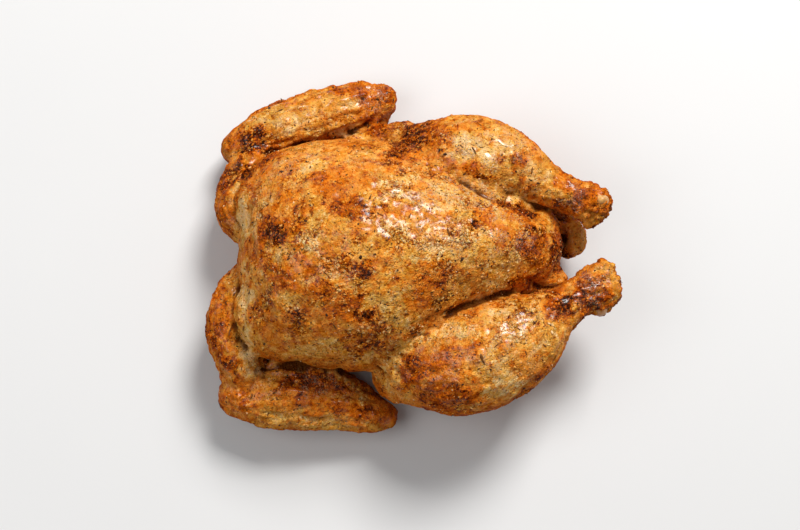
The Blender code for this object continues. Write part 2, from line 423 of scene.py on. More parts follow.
@dataclass(frozen=True)
class Limb:
    """A tube of flesh that follows a bent line.

    Each station on the line is its centre, the half width and the half height there.
    """

    name: str
    stations: Table
    grains: tuple[Grain, ...] = ()
    rings: int = 56
    sides: int = 48
    cap_rings: int = 7
    cap_roundness: float = 0.8
    near_reach: float = 1.08
    far_reach: float = 1.45

    def course(self) -> tuple[Array, Array]:
        """Follow the cubic curve through the stations, read at even shares of its chords.

        Returns:
            Points of the line; half widths and half heights there, as rows.
        """
        table = np.array(self.stations, dtype=float)
        length = run_lengths(table[:, :3])
        rows = np.column_stack((length / length[-1], table))
        even = read_table(rows, np.linspace(0.0, 1.0, self.rings))
        return even[:, :3], even[:, 3:]

    def axes(self, path: Array) -> tuple[Array, Array, Array]:
        """Find which way is ahead, sideways and upwards along a line.

        Args:
            path: Points of the line.

        Returns:
            Unit vectors for the three ways, one row for each point.
        """
        ahead = unit(np.gradient(path, axis=0))
        sideways = unit(np.cross((0.0, 0.0, 1.0), ahead))
        return ahead, sideways, np.cross(ahead, sideways)

    def surface(self) -> Surface:
        """Carry the oval section along the line and round off both ends.

        Each ring is centre + cos(angle) * half width * sideways
        + sin(angle) * half height * upwards. In the caps the centre moves on by the
        cosine and the section shrinks by the sine of a quarter turn.

        Returns:
            The closed tube.
        """
        path, radii = self.course()
        ahead, sideways, upwards = self.axes(path)
        turn = (np.arange(self.cap_rings) + 0.5)[:, None] / self.cap_rings * math.pi / 2.0
        sine, cosine = np.sin(turn), np.cos(turn)
        reach = self.cap_roundness * radii[[0, -1]].min(axis=1)
        near = path[0] - ahead[0] * reach[0] * cosine
        far = path[-1] + ahead[-1] * reach[1] * sine
        path = np.concatenate((near, path, far))
        radii = np.concatenate((radii[0] * sine, radii, radii[-1] * cosine))
        index = np.clip(np.arange(len(path)) - self.cap_rings, 0, self.rings - 1)
        angle = np.linspace(0.0, 2.0 * math.pi, self.sides, endpoint=False)[None, :, None]
        across = np.cos(angle) * radii[:, :1, None] * sideways[index][:, None, :]
        above = np.sin(angle) * radii[:, 1:, None] * upwards[index][:, None, :]
        return Surface.loft(path[:, None, :] + across + above)

    def local(self, points: Array) -> tuple[Array, Array, Array]:
        """Find where points lie on the limb.

        Args:
            points: Points, one row each.

        Returns:
            Share of the line; distances along, sideways and upwards, as rows;
            and closeness, which is 1 on the limb's surface and falls to 0 away
            from it.
        """
        path, course_radii = self.course()
        length = run_lengths(path)
        gap = (points**2).sum(axis=1)[:, None] - 2.0 * points @ path.T
        near = (gap + (path**2).sum(axis=1)).argmin(axis=1)
        offset = points - path[near]
        ways = [np.einsum("ij,ij->i", offset, axis[near]) for axis in self.axes(path)]
        along, across, above = ways
        radii = course_radii[near]
        at_end = (near == 0) | (near == self.rings - 1)
        beyond = np.where(at_end, along / radii.min(axis=1), 0.0)
        reach = np.sqrt((across / radii[:, 0]) ** 2 + (above / radii[:, 1]) ** 2 + beyond**2)
        place = np.stack((length[near] + along, across, above), axis=1)
        share = np.clip(place[:, 0] / length[-1], 0.0, 1.0)
        return share, place, 1.0 - smooth_step(self.near_reach, self.far_reach, reach)

    def wrinkles(self, points: Array, noise: Noise) -> Array:
        """Height of the limb's wrinkles: the size of noise that is stretched along the limb.

        Args:
            points: Points, one row each.
            noise: Noise to draw the wrinkles from.

        Returns:
            Heights in millimetres, about zero on average.
        """
        height = np.zeros(len(points))
        if not self.grains:
            return height
        table = np.array(self.stations, dtype=float)
        reach = 2.0 * table[:, 3:].max()
        low, high = table[:, :3].min(axis=0) - reach, table[:, :3].max(axis=0) + reach
        inside = np.flatnonzero(np.all((points > low) & (points < high), axis=1))
        share, place, close = self.local(points[inside])
        inside, share, place, close = (part[close > 0.0] for part in (inside, share, place, close))
        for number, grain in enumerate(self.grains):
            scaled = place / (grain.along, grain.across, grain.across) + GRAIN_SHIFT * number
            ridge = np.sqrt(np.abs(noise.fractal(scaled, 1.0, 2)) + RIDGE_ROUNDNESS) - RIDGE_MIDDLE
            height[inside] += grain.depth * ridge * grain.span(share) * close
        return height


@dataclass(frozen=True)
class Ball:
    """A stretched ball of flesh."""

    centre: Point
    radii: Point
    rings: int = 32
    sides: int = 48

    def surface(self) -> Surface:
        """Stretch circles of latitude, stacked along X, into an ellipsoid.

        Returns:
            The closed surface.
        """
        latitude = (np.arange(self.rings) + 0.5) / self.rings * math.pi
        longitude = np.linspace(0.0, 2.0 * math.pi, self.sides, endpoint=False)
        ring = np.sin(latitude)[:, None]
        x = np.broadcast_to(-np.cos(latitude)[:, None], (self.rings, self.sides))
        grid = np.stack((x, ring * np.cos(longitude), ring * np.sin(longitude)), axis=2)
        return Surface.loft(grid * self.radii + self.centre)


@dataclass(frozen=True)
class Torso:
    """Breast, belly and back, lofted through unlike sections.

    A section is a share of the length, the keel's side shift, a share of the half
    width, its bottom, widest and top heights, and how round it is below and above.
    """

    neck_x: float = -100.0
    length: float = 184.0
    half_width: float = 66.0
    keel_height: float = 101.0
    rings: int = 96
    sides: int = 128
    sections: Table = (
        (0.000, 5.0, 0.30, 24.0, 36.0, 0.44, 2.3, 2.2),
        (0.015, 5.0, 0.57, 13.0, 36.0, 0.56, 2.5, 2.2),
        (0.050, 4.5, 0.77, 4.0, 38.0, 0.71, 2.7, 2.2),
        (0.110, 4.0, 0.89, -1.0, 40.0, 0.85, 2.7, 2.1),
        (0.210, 3.5, 0.97, -2.0, 42.0, 0.95, 2.7, 2.0),
        (0.340, 3.0, 1.00, -3.0, 43.0, 1.00, 2.6, 1.9),
        (0.480, 3.0, 0.97, -3.0, 43.0, 1.00, 2.6, 1.85),
        (0.600, 4.0, 0.83, -2.0, 42.0, 0.97, 2.5, 1.8),
        (0.710, 6.0, 0.63, -1.0, 41.0, 0.92, 2.4, 1.75),
        (0.820, 7.0, 0.50, 2.0, 39.0, 0.83, 2.3, 1.75),
        (0.910, 8.0, 0.40, 8.0, 39.0, 0.72, 2.2, 1.8),
        (0.970, 9.5, 0.28, 18.0, 41.0, 0.60, 2.0, 1.9),
        (1.000, 10.0, 0.10, 32.0, 43.0, 0.50, 2.0, 2.0),
    )
    flesh: tuple[Ball, ...] = (
        Ball((-68.0, 30.0, 43.0), (35.0, 29.0, 34.0)),
        Ball((-66.0, -30.0, 42.0), (37.0, 29.0, 35.0)),
        Ball((-88.0, 5.0, 31.0), (10.0, 22.0, 26.0)),
        Ball((40.0, 4.0, 27.0), (45.0, 51.0, 26.0)),
        Ball((-6.0, -64.0, 34.0), (18.0, 17.0, 24.0)),
    )

    def surfaces(self) -> list[Surface]:
        """Loft the trunk and add the balls: breast corners, neck end, rump and right knee.

        Across a section y is the half width times cos(a)^(2/p), and z is the height
        above or below the widest line times sin(a)^(2/p), with p the roundness.

        Returns:
            Closed surfaces that run into one another.
        """
        share = 0.5 - 0.5 * np.cos(np.linspace(0.0, math.pi, self.rings))
        columns = read_table(self.sections, share).T[:, :, None]
        shift, width, bottom, middle, top, low_round, up_round = columns
        angle = np.linspace(0.0, 2.0 * math.pi, self.sides, endpoint=False)[None, :]
        sine, cosine = np.sin(angle), np.cos(angle)
        power = 2.0 / np.where(sine > 0.0, up_round, low_round)
        rise = np.where(sine > 0.0, top * self.keel_height - middle, middle - bottom)
        y = shift + width * self.half_width * np.sign(cosine) * np.abs(cosine) ** power
        z = middle + rise * np.sign(sine) * np.abs(sine) ** power
        x = np.broadcast_to((self.neck_x + self.length * share)[:, None], y.shape)
        trunk = Surface.loft(np.stack((x, y, z), axis=2))
        return [trunk] + [ball.surface() for ball in self.flesh]


@dataclass(frozen=True)
class Limbs:
    """Limbs that belong together."""

    limbs: tuple[Limb, ...]

    def surfaces(self) -> list[Surface]:
        """Closed surfaces that run into one another."""
        return [limb.surface() for limb in self.limbs]


@dataclass(frozen=True)
class Leg(Limbs):
    """Thigh and drumstick of one side, with the knuckles of its bare end and its knee."""

    knuckles: tuple[Ball, ...]
    knee: Point

    def surfaces(self) -> list[Surface]:
        """Closed surfaces of thigh, drumstick and knuckles."""
        return super().surfaces() + [ball.surface() for ball in self.knuckles]


@dataclass(frozen=True)
class Wing(Limbs):
    """Upper arm, forearm and tucked tip of one side, with its loose skin."""


@dataclass(frozen=True)
class LooseEnds(Limbs):
    """Tail, the skin under it, the flaps of the vent and webs of skin in the creases."""


LEG_GRAINS = (
    Grain(26, 9, 0.9),
    Grain(14, 5, 1.5, -0.3, 0.25),
    Grain(9, 4.5, 2.0, 0.68, 1.3),
    Grain(5, 4, 2.4, 0.88, 1.3),
)
ARM_GRAINS = (Grain(16, 5, 1.8), Grain(5, 4, 0.8))
WING_GRAINS = (Grain(24, 6.5, 2.6), Grain(6, 4.5, 0.8))
FLAP_GRAINS = (Grain(9, 5, 2.0),)

RIGHT_LEG = Leg(
    (
        Limb("right thigh", ((2, -58, 36, 24, 26), (37, -51, 29, 26, 27), (70, -44, 25, 16, 18))),
        Limb(
            "right drumstick",
            (
                (0, -62.5, 44, 20.5, 21.5), (16, -60, 50, 29, 27), (34, -55, 54, 32, 29),
                (52, -49, 56, 28.5, 27), (66, -41, 57, 23, 23), (80, -31, 56, 14, 15.5),
                (92, -22.5, 55, 11, 12), (101, -17.5, 55, 13.5, 12.5), (107, -15, 55, 13, 11),
            ),
            LEG_GRAINS,
        ),
    ),
    (Ball((104, -26, 54), (7, 7, 7)), Ball((106, -8, 57), (7, 7, 7))),
    (2, -58.5, 54),
)
LEFT_LEG = Leg(
    (
        Limb("left thigh", ((8, 58, 36, 24, 26), (40, 52, 29, 26, 27), (72, 44, 24, 16, 18))),
        Limb(
            "left drumstick",
            (
                (4, 56, 43, 19, 20), (20, 56.5, 48, 25, 25), (36, 56, 51, 25.5, 26),
                (52, 52.5, 53, 22, 24), (66, 46, 54, 16, 18.5), (80, 38.5, 55, 10.5, 13),
                (90, 34.5, 56, 10.5, 12), (98, 31.5, 56, 11.5, 12), (102, 30, 56, 12, 11),
            ),
            LEG_GRAINS,
        ),
    ),
    (Ball((99, 23, 54), (6.5, 6.5, 6.5)), Ball((99, 37, 58), (6, 6, 6))),
    (6, 52, 53),
)
RIGHT_WING = Wing(
    (
        Limb(
            "right upper arm",
            (
                (-86, -2, 30, 10, 13), (-101, -21, 32, 14, 16), (-103.5, -42, 31, 15, 17),
                (-98, -60, 27, 14, 16), (-92, -70, 23, 11.5, 13),
            ),
            ARM_GRAINS,
        ),
        Limb(
            "right forearm",
            (
                (-102, -76, 20, 13, 15), (-88, -77.5, 22, 17, 18), (-64, -78.5, 22, 18, 18),
                (-42, -82.5, 19, 14.5, 15), (-24, -86.5, 15, 11, 12), (-15, -88.5, 13, 8, 9.5),
            ),
            WING_GRAINS,
        ),
        Limb(
            "right elbow skin",
            ((-80, -65, 25, 10, 12), (-54, -69, 23, 12, 13), (-24, -81, 13, 7.5, 9)),
            WING_GRAINS,
        ),
        Limb(
            "right wing tip",
            ((-26, -84, 10, 8, 6), (-40, -73, 9, 10, 7), (-54, -60, 8, 7, 5)),
            FLAP_GRAINS,
        ),
    ),
)
LEFT_WING = Wing(
    (
        Limb(
            "left upper arm",
            (
                (-86, 13, 31, 10, 13), (-101, 30, 32, 14, 16), (-99, 45, 30, 13.5, 16),
                (-92, 58, 26, 12.5, 15), (-88, 65, 23, 11, 13),
            ),
            ARM_GRAINS,
        ),
        Limb(
            "left forearm",
            (
                (-103, 67, 19, 11, 14), (-88, 76, 22, 14, 16.5), (-66, 83.5, 22, 16.5, 17),
                (-44, 90.5, 20, 15.5, 16), (-26, 95.5, 19, 12.5, 13.5), (-17, 97.5, 18, 9.5, 11),
            ),
            WING_GRAINS,
        ),
        Limb(
            "left flank skin",
            ((-36, 64, 24, 10, 10), (-20, 72, 22, 10, 9), (-4, 72, 26, 12, 12)),
            FLAP_GRAINS,
        ),
        Limb(
            "left wing tip",
            ((-20, 91, 12, 8, 6), (-33, 78, 9, 10, 7), (-48, 63, 8, 7, 5)),
            FLAP_GRAINS,
        ),
    ),
)
LOOSE_ENDS = LooseEnds(
    (
        Limb(
            "tail",
            ((62, 9, 25, 18, 12), (80, 14, 26, 16, 12), (92, 16, 27, 12, 10)),
            FLAP_GRAINS,
        ),
        Limb(
            "skin under tail",
            ((64, 36, 26, 14, 13), (80, 31, 26, 12, 11), (90, 28, 26, 9, 9)),
            FLAP_GRAINS,
        ),
        Limb(
            "right vent flap",
            ((56, -8, 44, 16, 9), (72, -10, 41, 12, 7), (84, -11.5, 38, 7, 5)),
            FLAP_GRAINS,
        ),
        Limb(
            "left vent flap",
            ((52, 24, 42, 12, 8), (68, 20, 41, 12, 9), (80, 16, 38, 8, 7)),
            FLAP_GRAINS,
        ),
        Limb(
            "right web",
            (
                (8, -42, 63, 8, 7), (22, -35, 63.5, 8, 7), (34, -29, 62.5, 8, 7),
                (46, -24, 57, 6, 6),
            ),
        ),
        Limb("right arm web", ((-98, -28, 44, 5, 7), (-95.5, -41, 43, 5, 7), (-90, -51, 40, 5, 7))),
        Limb(
            "left web",
            ((18, 42, 64, 8, 7), (32, 38, 65, 8, 7), (45, 34.5, 62, 8, 7), (56, 31, 58, 6, 6)),
        ),
    ),
)


@dataclass(frozen=True)
class Fold:
    """A groove in the skin, seen from above: a line of X and Y, its half width and depth."""

    path: Table
    width: float
    depth: float
    samples: int = 60
    fade: float = 0.22

    def sink(self, flat: Array) -> Array:
        """Depth of the groove at points seen from above.

        It is the depth times exp(-(gap / width)^2), where gap is the distance to the
        cubic curve through the path, and it fades out over the path's two ends.

        Args:
            flat: X and Y of the points.

        Returns:
            Depths in millimetres.
        """
        table = np.array(self.path, dtype=float)
        rows = np.column_stack((np.linspace(0.0, 1.0, len(table)), table))
        share = np.linspace(0.0, 1.0, self.samples)
        line = read_table(rows, share)
        reach = 3.0 * self.width
        low, high = line.min(axis=0) - reach, line.max(axis=0) + reach
        inside = np.all((flat > low) & (flat < high), axis=1)
        gap = np.linalg.norm(flat[inside][:, None] - line[None], axis=2)
        near = share[gap.argmin(axis=1)]
        fade = smooth_step(0.0, self.fade, near) * (1.0 - smooth_step(1.0 - self.fade, 1.0, near))
        depth = np.zeros(len(flat))
        depth[inside] = self.depth * fade * np.exp(-((gap.min(axis=1) / self.width) ** 2))
        return depth


FOLDS = (
    Fold(((86, -4), (87, 4), (88, 11), (86, 20)), 1.8, 5.0),
    Fold(((22, 43), (32, 37), (44, 31), (62, 27), (80, 28)), 1.5, 2.0),
    Fold(((0, -41), (12, -35), (30, -28), (50, -20.5), (70, -14)), 1.4, 1.8),
    Fold(((60, -12), (72, -16), (84, -15)), 1.6, 2.5),
    Fold(((-98, -12), (-103, -28), (-100, -44), (-90, -58)), 1.5, 0.9),
    Fold(((-97, 14), (-102, 26), (-98, 40), (-88, 52)), 1.5, 1.5),
    Fold(((-92, -22), (-96, -34), (-92, -48)), 1.4, 1.4),
    Fold(((-92, 10), (-93, 20), (-89, 30)), 1.6, 1.0),
    Fold(((-88, -6), (-89, 4), (-88, 12)), 1.6, 1.0),
    Fold(((-92, 62), (-74, 66), (-54, 72), (-30, 82)), 1.6, 2.5),
    Fold(((-100, -66), (-76, -60), (-50, -60), (-34, -66)), 1.8, 2.5),
    Fold(((-96, -84), (-76, -88), (-52, -91), (-30, -92)), 1.5, 1.6),
    Fold(((-78, -66), (-66, -72), (-50, -76), (-34, -80)), 1.5, 1.2),
    Fold(((-60, 76), (-44, 82), (-30, 88)), 1.4, 1.4),
    Fold(((90, 38), (98, 40), (106, 38)), 1.2, 1.2),
    Fold(((96, 26), (101, 22), (106, 24)), 1.2, 1.4),
    Fold(((88, -14), (96, -16), (104, -12)), 1.2, 1.4),
    Fold(((94, -24), (100, -21), (108, -22)), 1.2, 1.4),
    Fold(((-23, -44), (-21, -60), (-9, -72)), 1.3, 1.4),
    Fold(((-15, -41), (-14, -57), (-5, -69)), 1.2, 1.2),
    Fold(((-9, -46), (-7, -58), (0, -67)), 1.2, 0.9),
)


class Roast(Enum):
    """What the oven did to a patch of skin.

    Its numbers are tone, from cream to char; warmth, from golden to orange; crust, how
    far it is raised and crusted; and grain, from smooth to all grains.
    """

    BARE = (0.20, 0.62, 0.0, 0.0)
    # Cream and sandy, where they lie on lit tops, are pale fat and painted highlight.
    CREAM = (0.06, 0.34, 0.0, 0.2)
    SANDY = (0.11, 0.38, 0.0, 0.7)
    GOLDEN = (0.22, 0.14, 0.0, 0.25)
    AMBER = (0.31, 0.55, 0.0, 0.2)
    ORANGE = (0.38, 1.05, 0.1, 0.15)
    RUST = (0.54, 1.10, 0.25, 0.4)
    BROWN = (0.60, 0.70, 0.5, 0.7)
    CHAR = (0.70, 0.90, 1.0, 0.8)


BARE, CREAM, SANDY, GOLDEN, AMBER, ORANGE, RUST, BROWN, CHAR = Roast


@dataclass(frozen=True)
class Oval:
    """An oval seen from above: centre, half length, half width, turn in degrees and strength."""

    x: float
    y: float
    length: float
    width: float
    turn: float = 0.0
    strength: float = 0.9
    inner: float = 0.72
    outer: float = 1.22

    def amount(self, flat: Array, ragged: Array) -> Array:
        """How far the oval covers each point.

        It is 1 inside the oval and 0 outside, with the oval's edge moved in and out
        by the ragged values.

        Args:
            flat: X and Y of the points.
            ragged: Shift of the edge, as a share of the oval's size.

        Returns:
            Amounts between 0 and the oval's strength.
        """
        angle = math.radians(self.turn)
        x, y = flat[:, 0] - self.x, flat[:, 1] - self.y
        along = (x * math.cos(angle) + y * math.sin(angle)) / self.length
        across = (y * math.cos(angle) - x * math.sin(angle)) / self.width
        reach = np.hypot(along, across) + ragged
        return self.strength * (1.0 - smooth_step(self.inner, self.outer, reach))


# Patches of skin, each a roast and its oval, in the order they are laid on. Cream and
# sandy ones on the top of the breast and the upper faces of the drumsticks, where
# the light falls, are pale both as pale fat and as painted highlight.
BREAST_PATCHES = (
    (GOLDEN, -97, 20, 7, 18), (CREAM, -96, 26, 5, 12, 10), (CREAM, -90, 4, 6, 14, -8),
    (CREAM, -91, -4, 5, 8), (GOLDEN, -97, -41, 6, 14, 8), (CREAM, -94, -52, 5, 9, -20),
    (ORANGE, -80, 52, 13, 7, 25), (RUST, -84, 54, 9, 5, 30), (AMBER, -68, 52, 12, 6, 20),
    (AMBER, -66, 44, 12, 9, 10), (GOLDEN, -59, 34, 11, 8), (GOLDEN, -48, 52, 12, 7, 5),
    (AMBER, -40, 56, 12, 5, 5), (CREAM, -58, 48, 6, 4), (ORANGE, -43, 37, 13, 11),
    (ORANGE, -40, 26, 9, 8), (RUST, -40, 22, 8, 5, 20), (ORANGE, -74, 15, 10, 11),
    (RUST, -76, 12, 8, 8), (CHAR, -75, 8, 5, 6, 30), (AMBER, -68, 26, 8, 8),
    (BROWN, -62, 20, 6, 5, 0, 0.55), (GOLDEN, -56, 12, 12, 8), (SANDY, -57, 4, 8, 5, 10),
    (SANDY, -52, 8, 7, 4, -10, 0.6), (AMBER, -44, 2, 10, 8), (GOLDEN, -38, 12, 8, 7),
    (RUST, -28, 20, 8, 7, -30), (CHAR, -25, 23, 4, 3), (GOLDEN, -20, 34, 14, 10),
    (SANDY, -16, 32, 12, 8, -10), (SANDY, -12, 17, 15, 12, -15, 0.95), (SANDY, -6, 8, 12, 6, -15),
    (AMBER, -27, 11, 8, 5), (AMBER, -62, -12, 13, 10), (ORANGE, -60, -9, 8, 7),
    (GOLDEN, -82, -8, 9, 10), (AMBER, -82, -16, 9, 8), (RUST, -72, -16, 6, 9, 10, 0.6),
    (BROWN, -78, -27, 12, 7, 0, 0.3), (GOLDEN, -64, -26, 9, 6, -20),
    (CHAR, -60, -31, 6, 4, 20, 0.4), (AMBER, -76, -40, 12, 10), (ORANGE, -77, -41, 8, 7, 0, 0.6),
    (BROWN, -62, -42, 6, 8, 20, 0.6), (GOLDEN, -52, -20, 12, 6, -10), (ORANGE, -40, -34, 16, 10, 5),
    (RUST, -28, -30, 10, 7), (CHAR, -27, -31, 5, 4, 0, 0.6), (AMBER, -48, -44, 14, 6, 5),
    (GOLDEN, -52, -52, 16, 5, 5), (BROWN, -30, -50, 10, 6, 10, 0.45),
    (RUST, -33, -9, 8, 6, -20, 0.7), (CHAR, -28, -12, 6, 4, -20), (ORANGE, -12, -9, 16, 6, -12),
    (RUST, -2, -12, 14, 4, -12, 0.7), (GOLDEN, -12, -25, 15, 10, 10), (AMBER, -8, -20, 14, 6, -5),
    (GOLDEN, -6, -34, 12, 8, 25), (RUST, 10, -14, 9, 7, -20), (ORANGE, 4, -24, 10, 7, 15),
    (SANDY, 12, 1, 15, 8, -10), (SANDY, 20, 8, 8, 6), (SANDY, 33, 12, 11, 7, -20, 0.6),
    (CHAR, 32, 14, 3, 3, 0, 0.7), (ORANGE, 40, 19, 6, 6), (SANDY, 24, 27, 11, 6, -30),
    (GOLDEN, 14, 35, 13, 5, -20), (GOLDEN, 36, 32, 10, 4, -30), (CHAR, 18, 21, 4, 3, 0, 0.7),
    (ORANGE, 30, -8, 12, 5, 10), (AMBER, 28, -20, 14, 7, 15), (GOLDEN, 46, -7, 10, 7, 10),
    (GOLDEN, 44, -19, 10, 5, 20), (AMBER, 52, 12, 9, 8, -30), (RUST, 62, 2, 8, 5, -20),
    (RUST, 69, 8, 6, 6, 0, 0.7), (CHAR, 70, -3, 5, 4, 0, 0.6), (BROWN, 66, 16, 8, 7, -30, 0.6),
)
WING_PATCHES = (
    (ORANGE, -110, 28, 6, 20, 8), (RUST, -108, 42, 5, 8, 20), (ORANGE, -112, 16, 5, 8),
    (BROWN, -100, 50, 8, 8), (ORANGE, -113, -30, 5, 18, -5), (RUST, -113, -44, 5, 12, 10),
    (RUST, -104, -59, 9, 5, -30), (CREAM, -94, -64, 9, 4, -10), (ORANGE, -104, 73, 7, 9, -30),
    (BROWN, -93, 70, 6, 10, -30), (GOLDEN, -80, 84, 12, 8, 20), (CREAM, -70, 79, 12, 6, 15),
    (GOLDEN, -56, 88, 12, 8, 12), (AMBER, -66, 72, 12, 4, 18), (RUST, -48, 81, 12, 3.5, 18),
    (RUST, -36, 100, 12, 5, -8, 0.6), (CREAM, -40, 92, 8, 5, 0, 0.7), (ORANGE, -22, 97, 7, 10, -20),
    (RUST, -15, 100, 5, 8, -20, 0.7), (AMBER, -28, 84, 10, 5, 15), (ORANGE, -98, -74, 11, 10, 20),
    (RUST, -62, -70, 18, 6, -8), (CHAR, -52, -68, 9, 4, -8, 0.7), (ORANGE, -62, -80, 18, 7, -8),
    (RUST, -36, -84, 14, 5, -12), (CHAR, -30, -84, 6, 3, -12, 0.6), (GOLDEN, -42, -74, 12, 4, -25),
    (GOLDEN, -80, -92, 16, 4, 2), (GOLDEN, -50, -95, 18, 4, -3), (ORANGE, -18, -88, 8, 6, -20),
)
LEG_PATCHES = (
    (BROWN, 2, 70, 12, 10, 30), (CHAR, -2, 66, 7, 5, 30, 0.6), (RUST, 12, 76, 10, 6, 20),
    (BROWN, -8, 58, 10, 7, 30), (ORANGE, 6, 56, 12, 7, 0, 0.7), (GOLDEN, 32, 72, 18, 7, -8),
    (CREAM, 29, 66, 12, 7, -10, 0.95), (CREAM, 52, 66, 12, 6, -25), (CREAM, 50, 57, 9, 4, -20, 0.6),
    (ORANGE, 27, 50, 12, 4, -10), (CHAR, 39, 43, 7, 4, -20), (ORANGE, 63, 46, 9, 5, -30),
    (RUST, 58, 50, 7, 5, -30, 0.6), (CREAM, 30, 39, 7, 4, -15), (GOLDEN, 52, 36, 18, 4, -18),
    (ORANGE, 78, 40, 10, 5, -20, 0.7), (BROWN, 86, 30, 9, 5, -20, 0.6), (RUST, 95, 32, 6, 9),
    (ORANGE, 104, 42, 5, 4), (GOLDEN, -12, -56, 8, 10, -30), (GOLDEN, 2, -48, 12, 4, 30),
    (ORANGE, 12, -63, 19, 14, 15), (RUST, 0, -63, 7, 10), (ORANGE, 24, -70, 14, 7, 10),
    (ORANGE, 14, -62, 15, 12, 10, 0.7), (AMBER, 10, -50, 12, 5, 25),
    (ORANGE, 24, -52, 9, 5, 15, 0.7), (AMBER, 38, -66, 14, 7, 15, 0.7),
    (GOLDEN, 46, -72, 14, 7, 25), (GOLDEN, 46, -46, 14, 6, 20), (CREAM, 52, -44, 8, 4, 20, 0.7),
    (CREAM, 26, -42, 16, 5, 12), (GOLDEN, 42, -36, 14, 4, 20), (CHAR, 34, -49, 4, 3, 0, 0.7),
    (AMBER, 34, -56, 9, 5, 10, 0.6), (CREAM, 60, -39, 7, 4, 25), (RUST, 80, -30, 11, 6, 30),
    (CHAR, 84, -27, 5, 3, 30, 0.6), (GOLDEN, 72, -42, 9, 5, 35), (CHAR, 103, -19, 6, 8, 0, 0.4),
    (RUST, 96, -20, 7, 8), (BARE, 93, 14, 9, 12, 0, 0.95), (RUST, 84, 13, 4, 10, -20),
    (RUST, 102, -24, 7, 9, 0, 0.7), (BROWN, 95, -30, 6, 6, 0, 0.6), (ORANGE, 74, -9, 9, 4, -15),
)
